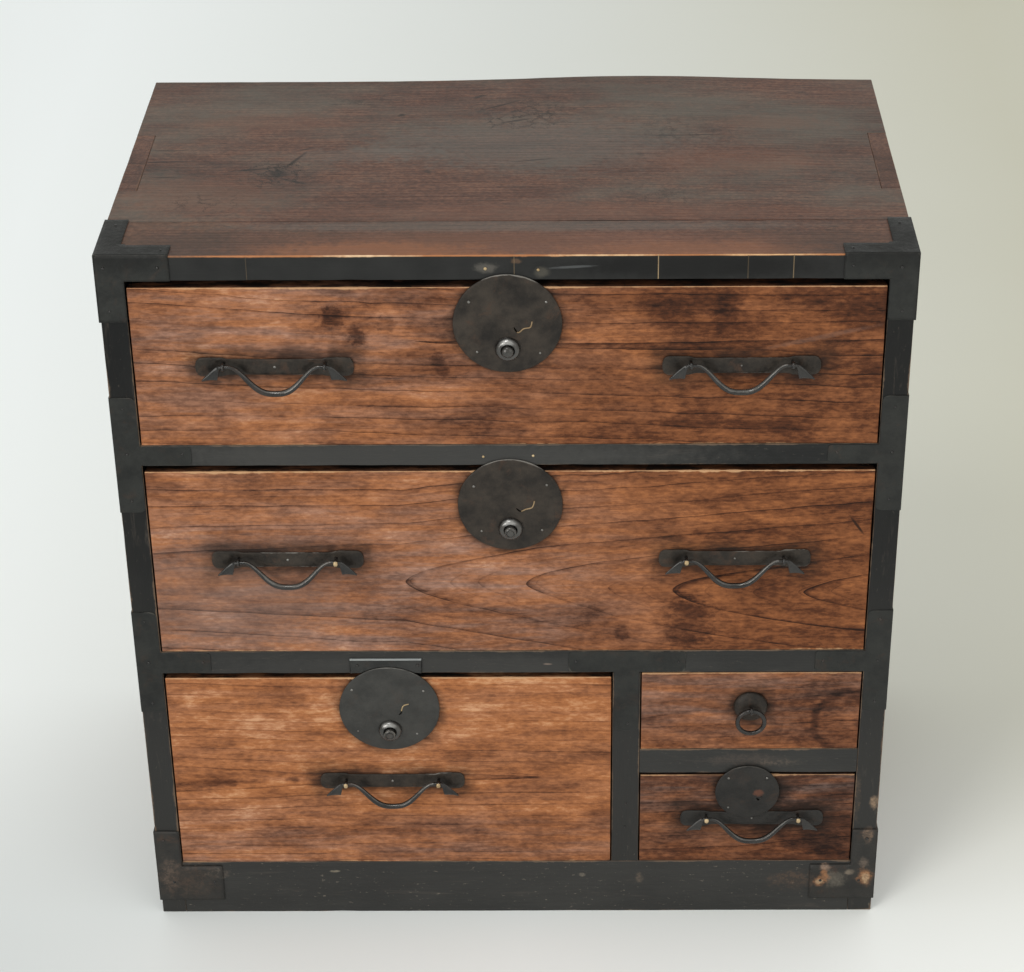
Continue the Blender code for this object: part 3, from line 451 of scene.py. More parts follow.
darkLooks = {
    "top": {
        "level": 0.58, "dustAndSheen": (0.134, 0.131, 0.107), "fog": 0.54, "line": 0.18,
        "edge": (0.1, 0.05, 0.03), "edgeStrength": 0.25, "edgeReach": 0.001, "edgeRagged": 1.0,
        "bare": (0.006, 0.005, 0.004), "rings": (0.0, 0.6, 0.0, 0.1, 1.2, 0.006, 0.016),
        "marks": (
            # the grey marks, strongest over the middle of the top, are dust and painted sheen
            (20, 45, 190, 75, greyDustAndSheen, 0.42, 0, 1.2), (-120, 25, 90, 22, greyDustAndSheen, 0.3, 4, 1.4),
            (-250, -60, 95, 55, redBrown, 0.32, 0, 1.4), (-215, 95, 90, 30, redBrown, 0.25, 0, 1.5),
            (190, 10, 110, 34, redBrown, 0.32, 0, 1.4), (230, 90, 70, 22, redBrown, 0.25, 0, 1.5),
            (40, -95, 320, 26, redBrown, 0.3, 0, 1.1), (-194, -16, 9, 11, nearBlack, 0.75, 20, 2.2),
            (-213, -6, 26, 2.2, nearBlack, 0.8, 12, 1.0), (-183, 12, 2.2, 24, nearBlack, 0.75, -24, 1.0),
            (-176, 36, 14, 1.8, nearBlack, 0.5, 35, 1.0), (-182, -30, 20, 2, nearBlack, 0.6, -28, 1.0),
            (-292, 10, 24, 1.5, nearBlack, 0.85, 2, 0.5), (-288, -22, 17, 1.3, nearBlack, 0.7, 1, 0.5),
            (-294, 34, 20, 1.2, nearBlack, 0.6, 1, 0.5), (-30, 150, 9, 3, nearBlack, 0.8, 30, 1.6),
            (-98, 110, 6, 4, nearBlack, 0.75, 30, 1.8), (-70, -12, 5, 4, nearBlack, 0.65, 0, 1.8),
            (-11, 129, 26, 2, nearBlack, 0.8, 30, 1.2), (3, 94, 18, 2, nearBlack, 0.75, 18, 1.2),
            (34, 108, 26, 1.6, nearBlack, 0.6, -8, 1.0), (20, 10, 26, 1.6, nearBlack, 0.6, 10, 1.2),
            (150, 60, 60, 1.4, nearBlack, 0.5, 3, 1.0)),
        "crazed": (
            (-195, -14, 42, 38, 0.9, 1.6), (15, 110, 60, 50, 0.75, 1.8), (-130, 140, 60, 24, 0.5, 1.8),
            (150, 70, 60, 45, 0.45, 1.8), (-250, -75, 40, 30, 0.5, 1.8), (120, -60, 50, 30, 0.4, 1.8)),
        "edgeWearAndHighlights": (), "faceMarks": ()},
    "strip": {
        "level": 0.6, "dustAndSheen": (0.15, 0.112, 0.08), "fog": 0.3, "line": 0.18, "bare": (0.5, 0.36, 0.2),
        "edge": (0.42, 0.17, 0.065), "edgeStrength": 0.9, "edgeReach": 0.0018, "edgeRagged": 0.3,
        "rings": (0.0, 0.4, 0.0, 0.03, -1.2, 0.0055, 0.012), "crazed": (),
        "marks": (
            (20, -158, 330, 42, redBrown, 0.45, 0, 0.8), (-110, -166, 130, 22, glowOrange, 0.32, 0, 1.3),
            (150, -166, 140, 22, glowOrange, 0.22, 0, 1.3), (30, -183, 280, 16, glowOrange, 0.36, 0, 1.3),
            (-252, -160, 70, 40, cornerShade, 0.4, 0, 1.3), (255, -162, 60, 40, cornerShade, 0.35, 0, 1.3),
            (0, -120, 330, 14, greyDustAndSheen, 0.4, 0, 1.0), (10, -176, 7, 8, (0.1, 0.07, 0.05), 0.8, 0, 1.8)),
        # cream marks along the front edge are painted highlights over the worn edge; the dark one at the left end
        # is not
        "edgeWearAndHighlights": (
            (-110, -182, 62, 14, (0.92, 0.66, 0.4), 0.9, 0, 1.0),
            (75, -182, 70, 14, (0.92, 0.62, 0.34), 0.9, 0, 1.0),
            (205, -182, 66, 14, (0.86, 0.54, 0.27), 0.85, 0, 1.0),
            (-262, -182, 42, 14, (0.09, 0.06, 0.045), 0.8, 0, 1.0)),
        "faceMarks": (
            (150, 656, 150, 16, (0.0035, 0.0033, 0.003), 0.75, 0, 0.8),
            (8, 661, 5, 3, (0.14, 0.08, 0.045), 0.5, 0, 1.8),
            (-16, 655, 12, 6, (0.11, 0.1, 0.085), 0.6, 10, 1.4),
            (52, 655.5, 24, 1.5, (0.11, 0.115, 0.115), 0.5, 3, 0.8),
            (28, 651, 8, 6, (0.1, 0.09, 0.07), 0.5))},
    "side": {
        "level": 0.6, "dustAndSheen": (0.13, 0.1, 0.08), "fog": 0.2, "line": 0.26, "bare": (0.4, 0.26, 0.15),
        "edge": (0.15, 0.08, 0.045), "edgeStrength": 0.5, "edgeReach": 0.0018, "edgeRagged": 1.0,
        "rings": (0.42, 0.03, 0.02, 0.09, -0.5, 0.013, 0.022), "marks": (), "crazed": (), "edgeWearAndHighlights": (),
        "faceMarks": ()},
}
lacquerBlack = ((0.009, 0.0095, 0.0092), (0.0225, 0.0225, 0.0205))


def lacquer(name, grain, marks, depth=1.0):
    material = newMaterial(name, {"Specular IOR Level": 0.22})
    point = objectPoint()
    along = objectPoint(grain)
    height = apart(point)[2]
    fine = useGroup("fibres", along)[0]
    cloud = streaks(along, (9, 22, 22), 5.0, 0.65, 0.0, 0.35, 0.7)
    shades = [tuple(part * depth for part in shade) for shade in lacquerBlack]
    colour = tint(times(fine, 0.35), tint(cloud, *shades), (0.006, 0.0058, 0.0055))
    scuffs = streaks(along, (16, 130, 130), 5.0, 0.72, 0.5, 0.57, 0.74)
    colour = tint(times(scuffs, 0.42), colour, (0.075, 0.06, 0.047))
    colour = tint(between(height, 0.5, 0.1, 0.0, 0.33), colour, (0.06, 0.058, 0.053))  # lighter and greyer towards the bottom
    low = between(height, 0.09, 0.045, 0.25, 1.0)  # the foot of the chest is the most knocked about
    specks = streaks(along, (190, 420, 420), 3.0, 0.7, 0.0, 0.64, 0.72)
    colour = tint(times(times(specks, low), 0.75), colour, (0.17, 0.145, 0.115))
    colour = worn(point, colour, 0.0013, 1.0, 0.55, (0.2, 0.13, 0.08))
    colour = tint(vertexMask("bare"), marked(point, colour, "front", marks), rubbedTan)
    return coated(material, colour, between(cloud, 0.0, 1.0, 0.38, 0.52), times(fine, -1.0), 0.00016)


def bareWood(name, grain, pale, deep):
    material = newMaterial(name, {"Specular IOR Level": 0.3})
    along = objectPoint(grain)
    line = useGroup("growthLines", along, 0.1, 0.05, 0.02, 0.05, 0.9, 0.007, 0.025)[0]
    fine = useGroup("fibres", along)[0]
    colour = tint(streaks(along, (6, 12, 12), 4.0, 0.6, 0.0, 0.35, 0.7), pale, deep)
    colour = tint(times(line, 0.6), colour, (0.2, 0.11, 0.055))
    colour = tint(times(fine, 0.3), colour, deep)
    colour = worn(along, colour, 0.003, 1.0, 0.5, (0.22, 0.14, 0.08))
    colour = tint(vertexMask("bare"), colour, (0.06, 0.035, 0.02))
    gloss = between(fine, 0.0, 1.0, 0.62, 0.78)
    return coated(material, colour, gloss, plus(line, -1.0, times(fine, -0.5)), 0.0003)


def iron(name, dark, light, rustAmount, edgeColour, edgeReach, metallic=0.4, polish=0.0, wax=0.0,
         face="front", marks=()):
    material = newMaterial(name, {"Metallic": metallic, "Specular IOR Level": 0.4, "Coat Weight": wax,
                                  "Coat Roughness": 0.13})
    point = objectPoint()
    tone, rust, height, gloss = useGroup("ironSkin", point, rustAmount)
    colour = tint(rust, tint(tone, dark, light), (0.075, 0.04, 0.024))
    colour = marked(point, worn(point, colour, edgeReach, 1.0, 0.7, edgeColour), face, marks)
    return coated(material, colour, minus(plus(rust, 0.2, gloss), polish), height, 0.0005)


rustOrange = (0.3, 0.135, 0.055)
rustCream = (0.42, 0.29, 0.17)
rustBrown = (0.1, 0.062, 0.04)
steelGrey = (0.2, 0.19, 0.17)
footRust = (  # flaking rust that runs over iron and lacquer alike
    (290, 37, 15, 11, (0.15, 0.13, 0.1), 0.6, 0, 1.8, 0.35),
    (278, 36, 9, 8, rustOrange, 0.85, 20, 1.9, 0.5), (277, 35, 5, 4, rustCream, 0.9, 0, 1.9, 0.35),
    (280, 44, 3.5, 9, rustOrange, 0.75, 8, 1.8, 0.45),
    (280, 51, 6, 4.5, (0.3, 0.2, 0.14), 0.7, 0, 1.9, 0.4),
    (303, 45, 6, 4, (0.24, 0.19, 0.14), 0.6, 0, 1.9, 0.4), (317, 40, 8, 14, rustOrange, 0.9, 0, 1.8, 0.5),
    (318, 38, 4.5, 9, rustCream, 0.85, 0, 1.9, 0.45), (316, 56, 6, 8, (0.16, 0.12, 0.09), 0.6, 0, 1.8, 0.5),
    (318, 88, 6, 11, (0.2, 0.13, 0.085), 0.75, 0, 1.8, 0.6),
    (321, 124, 5, 11, (0.28, 0.19, 0.12), 0.8, 0, 1.6, 0.5), (252, 36, 26, 14, rustBrown, 0.5, 0, 1.8, 0.7),
    (-300, 38, 34, 26, rustBrown, 0.3, 0, 1.8, 0.6),
    (-316, 46, 11, 24, (0.13, 0.09, 0.065), 0.5, 0, 1.8, 0.7),
    (-272, 46, 16, 9, (0.13, 0.1, 0.075), 0.4, 0, 1.8, 0.85),
    (60, 42, 4, 3, (0.2, 0.17, 0.13), 0.7, 0, 1.5, 0.4),
    (-165, 47, 6, 1.6, (0.22, 0.19, 0.14), 0.7, 3, 1.4, 0.4),
    (112, 38, 5, 8, (0.12, 0.09, 0.065), 0.6, 0, 1.8, 0.6))
railMarks = (
    (205, 172, 46, 9, (0.07, 0.055, 0.045), 0.55, 0, 1.9, 0.5),
    (232, 168, 26, 5, (0.11, 0.085, 0.065), 0.45, 0, 1.9, 0.8),
    (-60, 272, 280, 16, (0.06, 0.057, 0.052), 0.25, 0, 1.0),
    (-80, 483, 330, 22, (0.064, 0.062, 0.057), 0.5, 0, 0.8),
    (30, 275, 5, 1.2, (0.2, 0.15, 0.12), 0.7, 0, 1.0), *footRust)
postMarks = ((306, 130, 4, 30, (0.16, 0.1, 0.06), 0.4, 0, 1.7, 0.8), *footRust)
smallLockRust = ((217, 138, 5.5, 4.5, (0.13, 0.05, 0.028), 0.75, 0, 1.7),)
# painted shade: darkens the top faces of the top corner irons
capPaintedShade = [(side * 298, -150, 60, 60, (0.0045, 0.0045, 0.004), 0.72, 0, 0.7) for side in (-1, 1)]
bossHighlights = []  # painted highlight on the upper side of each boss
for lock in ("top", "middle", "lower"):
    low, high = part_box(lock + "_lock_button")
    middle = (low + high) / 2 / mm
    bossHighlights.append((middle.x - 1, middle.z + 7, 7, 4, (0.5, 0.49, 0.47), 0.6, 0, 0.7))
irons = {  # dark and light colour, rust, worn edge's colour and reach, metal, polish, wax, face, marks
    "plateIron": ((0.0095, 0.0072, 0.0054), (0.045, 0.035, 0.0262), 0.6, (0.24, 0.225, 0.2), 0.0008),
    "darkIron": ((0.012, 0.0115, 0.0105), (0.03, 0.0275, 0.0245), 0.3, (0.08, 0.075, 0.065), 0.0006,
                 0.4, 0.0, 0.0, "front", smallLockRust),
    "bossIron": ((0.026, 0.023, 0.02), (0.062, 0.057, 0.051), 0.3, steelGrey, 0.0006,
                 0.85, 0.2, 1.0, "front", bossHighlights),
    "greyIron": ((0.028, 0.0275, 0.025), (0.052, 0.0505, 0.0455), 0.15, steelGrey, 0.0008),
    "cornerIron": ((0.011, 0.0116, 0.0107), (0.026, 0.0268, 0.0238), 0.2, (0.075, 0.07, 0.058), 0.0006,
                   0.4, 0.0, 0.0, "top", capPaintedShade),
    # the strike plate's bright edge colour is a painted highlight
    "strikeIron": ((0.016, 0.0165, 0.0155), (0.036, 0.0365, 0.034), 0.15, (0.34, 0.36, 0.35), 0.0009),
    "rustyIron": ((0.014, 0.0135, 0.012), (0.03, 0.027, 0.023), 0.5, (0.06, 0.05, 0.038), 0.0006,
                  0.25, 0.0, 0.0, "front", footRust),
    # on the bails the worn-edge colour is a painted highlight along the grip
    "bailIron": ((0.0085, 0.0078, 0.007), (0.026, 0.0242, 0.022), 0.3, (0.13, 0.122, 0.11), 0.0006,
                 0.55, 0.2, 0.45),
    "buttonSteel": ((0.03, 0.0275, 0.0245), (0.075, 0.07, 0.063), 0.35, (0.22, 0.2, 0.17), 0.0006,
                    0.8, 0.12, 0.6),
    "nailIron": ((0.1, 0.095, 0.085), (0.26, 0.25, 0.23), 0.25, (0.2, 0.18, 0.15), 0.0004, 0.85, 0.1, 0.6),
    "brass": ((0.32, 0.22, 0.11), (0.62, 0.48, 0.29), 0.15, (0.75, 0.62, 0.4), 0.0006, 0.7),
    "dullBrass": ((0.16, 0.1, 0.05), (0.42, 0.3, 0.17), 0.5, (0.5, 0.38, 0.22), 0.0006, 0.5),
}
bareWoods = {  # grain, pale and deep colour
    "wallWood": ("y", (0.46, 0.31, 0.18), (0.3, 0.19, 0.105)),
    "bottomWood": ("flat", (0.46, 0.31, 0.18), (0.3, 0.19, 0.105)),
    "shelfWood": ("flat", (0.42, 0.28, 0.16), (0.27, 0.17, 0.095)),
    "backWood": ("z", (0.34, 0.23, 0.14), (0.2, 0.13, 0.08)),
}
finishes = {
    "topWood": darkWood("topWood", "flat", darkLooks["top"]),
    "stripWood": darkWood("stripWood", "flat", darkLooks["strip"]),
    "sideWood": darkWood("sideWood", "side", darkLooks["side"]),
    "lacquerAcross": lacquer("lacquerAcross", "x", railMarks),
    "lacquerUp": lacquer("lacquerUp", "z", postMarks, 0.36),
    **{name: bareWood(name, *values) for name, values in bareWoods.items()},
    **{name: iron(name, *values) for name, values in irons.items()},
    **{drawer: drawerWood(drawer + "Wood", look) for drawer, look in drawerLooks.items()},
}
print("finishes built")


# finishing pieces

def placeObject(name, data):
    item = bpy.data.objects.new(name, data)
    bpy.context.scene.collection.objects.link(item)
    return item


def meshOf(name, shape):
    mesh = bpy.data.meshes.new(name)
    shape.to_mesh(mesh)
    shape.free()
    return mesh


def makePiece(name, shape, *finishNames, angle=38):
    mesh = meshOf(name, shape)
    mesh.shade_smooth()
    mesh.set_sharp_from_angle(angle=math.radians(angle))
    for finish in finishNames:
        mesh.materials.append(finishes[finish])
    return placeObject(name, mesh)


def standFor(piece, node):
    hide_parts(node)
    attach(piece, bodyOfNode[node])


def addTrim(piece, body="case"):
    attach(piece, body)


def grit(point, scale):
    return noise.noise(point * scale)


def smoothStep(value, low, high):
    share = min(1.0, max(0.0, (value - low) / (high - low)))
    return share * share * (3 - 2 * share)


# boards: the CAD solid cut into a grid, its edges worn round and its faces hand-planed

edgeCuts = (0.0003, 0.0008, 0.0016, 0.003)


def cadShape(node):
    shape = bmesh.new()
    shape.from_mesh(frame["nodes"][node].data)
    bmesh.ops.remove_doubles(shape, verts=shape.verts, dist=1e-6)
    bmesh.ops.dissolve_limit(shape, angle_limit=0.01, verts=shape.verts, edges=shape.edges)
    return shape


def bevelled(shape, offset, clamp=False):
    edges = shape.edges[:]
    bmesh.ops.bevel(shape, geom=edges, offset=offset, segments=2, affect="EDGES", clamp_overlap=clamp)
    return shape


def gridPlaces(low, high, step, extra):
    places = [low + cut for cut in edgeCuts] + [high - cut for cut in edgeCuts] + list(extra)
    count = max(1, round((high - low) / step))
    inner = [low + (high - low) * number / count for number in range(1, count)]
    places += [place for place in inner if min(place - low, high - place) > 1.6 * edgeCuts[-1]]
    kept = []
    for place in sorted(places):
        if low + 0.0001 < place < high - 0.0001 and (not kept or place - kept[-1] > 0.00012):
            kept.append(place)
    return kept


def cutAcross(shape, axis, places):
    normal = Vector([1.0 if index == axis else 0.0 for index in range(3)])
    for place in places:
        everything = shape.verts[:] + shape.edges[:] + shape.faces[:]
        bmesh.ops.bisect_plane(shape, geom=everything, dist=1e-7, plane_co=normal * place, plane_no=normal)


def evenCuts(shape, axis, low, high, step):
    count = max(1, round((high - low) / step))
    cutAcross(shape, axis, [low + (high - low) * (number + 0.5) / count for number in range(count)])


def frontEdgeGap(start, low, high):
    # how far from the upper front edge, which is rubbed most, or the lower one
    return max(0.0, start.y - frontY) + min(high.z - start.z, start.z - low.z + 0.0008)


def upperEdgeGap(start, low, high):
    return max(0.0, start.y - frontY) + high.z - start.z


boardLooks = {  # grid steps, how round and chipped the edges are, waves left by the plane
    "front": ((0.0065, 0.1, 0.0065), 0.0009, 0.0014, 0.00022),
    "top": ((0.009, 0.009, 0.1), 0.0007, 0.0012, 0.0003),
    "strip": ((0.009, 0.009, 0.1), 0.0008, 0.0018, 0.0002),
    "side": ((0.1, 0.012, 0.012), 0.001, 0.0015, 0.0003),
    "upright": ((0.1, 0.1, 0.009), 0.0009, 0.0013, 0.00015),
    "rail": ((0.009, 0.1, 0.1), 0.0009, 0.0014, 0.00015),
    "back": ((0.05, 0.05, 0.05), 0.0008, 0.0012, 0.0003),
    "inside": ((0.05, 0.05, 0.05), 0.0007, 0.0008, 0.00012),
    "bottom": ((0.05, 0.05, 0.05), 0.0006, 0.0006, 0.00012),
}


def makeBoard(node, finish, kind, adjust=None, edgeGap=None, cutsX=()):
    steps, radius, chip, wave = boardLooks[kind]
    low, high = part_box(node)
    shape = cadShape(node)
    for axis in sorted(range(3), key=lambda index: high[index] - low[index], reverse=True):
        extra = cutsX if axis == 0 else ()
        cutAcross(shape, axis, gridPlaces(low[axis], high[axis], steps[axis], extra))
    layers = shape.verts.layers.float
    gapLayer, stainAndShadeLayer, bareLayer = [layers.new(name) for name in ("edgeGap", "stain", "bare")]
    for vert in shape.verts:
        start = vert.co.copy()
        sides = []
        for axis in range(3):
            toLow, toHigh = start[axis] - low[axis], high[axis] - start[axis]
            sides.append((toLow, 1, low[axis]) if toLow < toHigh else (toHigh, -1, high[axis]))
        gaps = sorted(side[0] for side in sides)
        vert[gapLayer] = edgeGap(start, low, high) if edgeGap else max(0.0, gaps[1])
        size = radius * (0.75 + 0.45 * grit(start, 55.0)) + chip * max(0.0, grit(start, 28.0) - 0.25) * 1.6
        size = max(size, 0.0002)
        push = Vector([max(0.0, size - side[0]) for side in sides])
        if push.length > size:  # on a worn edge or corner
            push *= size / push.length
            for axis, (gap, way, plane) in enumerate(sides):
                if gap < size:
                    vert.co[axis] = plane + way * (size - push[axis])
        elif gaps[0] < 1e-5:  # on a flat face
            axis = min(range(3), key=lambda index: sides[index][0])
            depth = wave * (0.5 + 0.5 * grit(start, 26.0)) * smoothStep(gaps[1], 0.0, 0.005)
            vert.co[axis] += sides[axis][1] * depth
        if adjust:
            vert[stainAndShadeLayer], vert[bareLayer] = adjust(vert, start)
    standFor(makePiece(node + ".worn", shape, finish), node)


# where iron has stained each front: centre, half sizes, round or not
ironMarks = {drawer: [] for drawer in drawerLooks}
for node, body in bodyOfNode.items():
    if body in ironMarks and node.endswith(("_plate", "_rosette")):
        low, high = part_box(node)
        ironMarks[body].append((Vector(((low.x + high.x) / 2, (low.z + high.z) / 2)),
                                (high.x - low.x) / 2, (high.z - low.z) / 2, "lock" in node or "ring" in node))


def frontAdjust(drawer):
    def adjust(vert, start):
        if start.y > frontY + 0.0009:
            return 1.0, 0.0  # painted shade: the top face of the front, down in the gap under the rail, is made nearly black
        dark = 0.0
        for centre, halfX, halfZ, isRound in ironMarks[drawer]:
            aside = Vector((start.x, start.z)) - centre
            reach = max(0.0015, 0.0045 + 0.006 * grit(start, 38.0) + 0.003 * grit(start, 110.0))
            if isRound:
                gap = aside.length - halfX
            else:
                gap = Vector((max(0.0, abs(aside.x) - halfX), max(0.0, abs(aside.y) - halfZ))).length
                reach += 0.0055 if abs(aside.x) > halfX * 0.75 else 0.0015
            if drawer == "small_lower_drawer":
                reach *= 1.7
            dark = max(dark, math.exp(-(max(0.0, gap) / reach) ** 2) * 0.85)
        return dark, 0.0
    return adjust


for drawer in drawerLooks:
    makeBoard(drawer + "_front", drawer, "front", frontAdjust(drawer), frontEdgeGap)
    makeBoard(drawer + "_walls", "wallWood", "inside")
    makeBoard(drawer + "_bottom", "bottomWood", "bottom")
print("drawer boards built")

topShape = {"riseX": 0.11, "riseSpread": 0.13, "rise": 0.0048,
            "gapX": 0.088, "gapSpread": 0.034, "gap": 0.0009}
# where the lacquer has split: x and brightness
splits = ((-0.206, 0.12), (0.006, 0.25), (0.12, 0.9), (0.191, 0.2), (0.227, 0.5))
plankSeams = (-0.186, -0.062, 0.064, 0.187)  # the back is planks laid side by side
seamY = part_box("top_board")[0].y
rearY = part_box("top_board")[1].y
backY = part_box("back_panel")[1].y


def bell(x, centre, spread):
    return math.exp(-((x - topShape[centre]) / topShape[spread]) ** 2)


def topAdjust(vert, start):
    back = ((start.y - seamY) / (rearY - seamY)) ** 1.6
    vert.co.z += topShape["rise"] * bell(start.x, "riseX", "riseSpread") * back
    seam = bell(start.x, "gapX", "gapSpread")
    if start.y < seamY + 0.0001:
        vert.co.y += topShape["gap"] * seam
    return 0.0, 0.8 * smoothStep(start.y, seamY + 0.0009, seamY) * (0.2 + 0.8 * seam)


def stripAdjust(vert, start):
    bright = 0.0
    for x, strength in splits:
        if abs(start.x - x) < 0.0001 and start.y < frontY + 0.0005:
            vert.co.y += 0.0006
            bright = strength
    if start.y > caseHigh.y - 0.0001:
        vert.co.y -= topShape["gap"] * 0.5 * bell(start.x, "gapX", "gapSpread")
    return 0.0, bright


def backAdjust(vert, start):
    if min(abs(start.x - seam) for seam in plankSeams) < 0.0001 and start.y > backY - 0.001:
        vert.co.y -= 0.0018
        return 0.0, 1.0
    return 0.0, 0.0


splitCuts = [x + side * 0.00055 for x, strength in splits for side in (-1, 0, 1)]
seamCuts = [seam + side * 0.0009 for seam in plankSeams for side in (-1, 0, 1)]
makeBoard("top_board", "topWood", "top", topAdjust)
makeBoard("top_front_board", "stripWood", "strip", stripAdjust, upperEdgeGap, splitCuts)
for side in ("left", "right"):
    makeBoard(side + "_side_board", "sideWood", "side")
    makeBoard(side + "_stile", "lacquerUp", "upright")
for rail in ("upper_rail", "middle_rail", "bottom_rail", "small_rail"):
    makeBoard(rail, "lacquerAcross", "rail", edgeGap=frontEdgeGap)
makeBoard("divider_post", "lacquerUp", "upright")
makeBoard("back_panel", "backWood", "back", backAdjust, cutsX=seamCuts)
for shelf in ("bottom_board", "upper_dust_board", "middle_dust_board", "small_dust_board"):
    makeBoard(shelf, "shelfWood", "inside")
makeBoard("partition_board", "wallWood", "inside")
print("case boards built")


# ironwork shapes

def loftShape(rings, endless=False, shape=None):
    shape = shape or bmesh.new()
    loops = [[shape.verts.new(point) for point in ring] for ring in rings]
    for near, far in zip(loops, loops[1:] + loops[:1] if endless else loops[1:]):
        for index in range(len(near)):
            after = (index + 1) % len(near)
            shape.faces.new((near[index], near[after], far[after], far[index]))
    if not endless:
        shape.faces.new(loops[0])
        shape.faces.new(loops[-1])
    return shape


def closed(shape):
    bmesh.ops.recalc_face_normals(shape, faces=shape.faces)
    return shape


def turnsOf(count):
    return [math.tau * number / count for number in range(count)]


def turnedRings(x, z, profile, sides):
    # rings about an axis along Y, from (y, radius) pairs
    return [[Vector((x + radius * math.cos(a), y, z + radius * math.sin(a))) for a in turnsOf(sides)]
            for y, radius in profile]


def beside(line, index):
    # the points before and after one, or the point itself at an end
    return line[max(index - 1, 0)], line[min(index + 1, len(line) - 1)]


def direction(before, after):
    return Vector((after[0] - before[0], after[1] - before[1])).normalized()


def combined(shape, steps):
    # runs a chain of Booleans and gives back one closed shape
    holder = placeObject("working", meshOf("working", closed(shape)))
    used = [holder]
    for operation, other in steps:
        used.append(placeObject("working", meshOf("working", closed(other))))
        modifier = holder.modifiers.new(operation, "BOOLEAN")
        modifier.operation = operation
        modifier.solver = "EXACT"
        modifier.use_self = True
        modifier.object = used[-1]
    bpy.context.view_layer.update()
    mesh = bpy.data.meshes.new_from_object(holder.evaluated_get(bpy.context.evaluated_depsgraph_get()))
    result = bmesh.new()
    result.from_mesh(mesh)
    spent = [mesh] + [item.data for item in used]
    for item in used:
        bpy.data.objects.remove(item, do_unlink=True)
    for item in spent:
        bpy.data.meshes.remove(item)
    bmesh.ops.remove_doubles(result, verts=result.verts, dist=1e-6)
    return result


def smoothLine(points, steps):
    # a rounded line through the points
    line = []
    for index in range(len(points) - 1):
        corners = [points[min(max(index + step, 0), len(points) - 1)] for step in (-1, 0, 1, 2)]
        for step in range(steps):
            t = step / steps
            line.append(tuple(0.5 * (2 * b + (c - a) * t + (2 * a - 5 * b + 4 * c - d) * t * t
                                     + (3 * b - a - 3 * c + d) * t ** 3) for a, b, c, d in zip(*corners)))
    return line + [points[-1]]


def ribbonOutline(line, width):
    # a closed outline of even width along a flat line
    left, right = [], []
    for index, (x, z) in enumerate(line):
        along = direction(*beside(line, index))
        half = width / 2 * min(1.0, 0.55 + 0.25 * min(index, len(line) - 1 - index))
        left.append((x - along.y * half, z + along.x * half))
        right.append((x + along.y * half, z - along.x * half))
    return left + right[::-1]


def wireRings(path, radius, sides):
    # rings of a round wire along points
    rings = []
    for index, point in enumerate(path):
        before, after = beside(path, index)
        along = (after - before).normalized()
        across = along.cross(Vector((0, 1, 0))).normalized()
        up = across.cross(along)
        rings.append([point + radius * (math.cos(a) * across + math.sin(a) * up) for a in turnsOf(sides)])
    return rings


def setGaps(shape, measure=lambda co: noWear):
    layer = shape.verts.layers.float.get("edgeGap") or shape.verts.layers.float.new("edgeGap")
    for vert in shape.verts:
        vert[layer] = measure(vert.co)


def paint(shape, first, index):
    # gives the faces made since the first their own finish
    shape.faces.ensure_lookup_table()
    for face in shape.faces[first:]:
        face.material_index = index


# round lock plates with a boss, a push button, a hidden bolt and a curled keyhole

lockShape = {
    "sides": 88, "thickness": 0.0016, "dome": 0.0007, "rim": 0.0006, "hammer": 0.00018,
    "bossRadius": 0.0105, "bossHeight": 0.0052, "bossMouth": 0.0056, "bossLip": 0.0008,
    "holeRadius": 0.0053, "turnedSides": 48, "keyholeWidth": 0.0013, "lipRadius": 0.00055,
    "smallLift": 0.0018, "caseHalf": 0.014, "caseHeight": 0.0217,
    "buttonRadius": 0.0049, "bodyRadius": 0.00695, "bodyStart": 0.0003, "bodyRim": 0.0025, "wedgeSlope": 1.6,
}


def lockDisc(centre, radius, back, front):
    profile = [(back, 0.002), (back, radius * 0.5), (back, radius - 0.0004), (back - 0.0003, radius)]
    profile += [(front + lockShape["rim"], radius), (front + 0.00018, radius - 0.0004),
                (front, radius - 0.001)]
    for step in range(1, 15):
        share = 1 - step / 15
        profile.append((front - lockShape["dome"] * (1 - share * share), (radius - 0.001) * share))
    shape = loftShape(turnedRings(centre.x, centre.z, profile, lockShape["sides"]))
    for vert in shape.verts:
        aside = vert.co - Vector((centre.x, vert.co.y, centre.z))
        if aside.length > radius * 0.9:
            vert.co += aside * 0.006 * noise.noise(aside.normalized() * 2.3 + centre * 9)
        if vert.co.y < front + 0.0002:
            vert.co.y += lockShape["hammer"] * grit(vert.co, 130.0)
    return shape


def bossSteps(x, z, back, front):
    # the raised boss, and the hole through it for the button
    outer, height, mouth, lip = [lockShape["boss" + part] for part in ("Radius", "Height", "Mouth", "Lip")]
    boss = [(back - 0.0006, outer), (front, outer)]
    for degrees in range(10, 91, 16):
        angle = math.radians(degrees)
        reach = mouth + lip + (outer - mouth - lip) * math.cos(angle)
        boss.append((front - height * math.sin(angle) ** 0.9, reach))
    boss += [(front - height * 0.97, mouth + 0.0002), (front - height * 0.8, mouth), (back - 0.0006, mouth)]
    hole = [(back + 0.002, lockShape["holeRadius"]), (front - 0.003, lockShape["holeRadius"])]
    sides = lockShape["turnedSides"]
    return [("UNION", loftShape(turnedRings(x, z, boss, sides), endless=True)),
            ("DIFFERENCE", loftShape(turnedRings(x, z, hole, sides)))]


def lockCase(shape, centre, back, inner):
    # the lock case let into the wood behind the small plate
    case = bmesh.new()
    bmesh.ops.create_cube(case, size=1.0)
    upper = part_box("small_lower_drawer_front")[1].z - 0.0003
    caseTop = Vector((centre.x + lockShape["caseHalf"], inner, upper))
    caseFoot = Vector((centre.x - lockShape["caseHalf"], back + 0.0001, caseTop.z - lockShape["caseHeight"]))
    for vert in case.verts:
        vert.co = Vector([caseFoot[a] if vert.co[a] < 0 else caseTop[a] for a in range(3)])
    mesh = meshOf("working", bevelled(case, 0.0005))
    shape.from_mesh(mesh)
    bpy.data.meshes.remove(mesh)


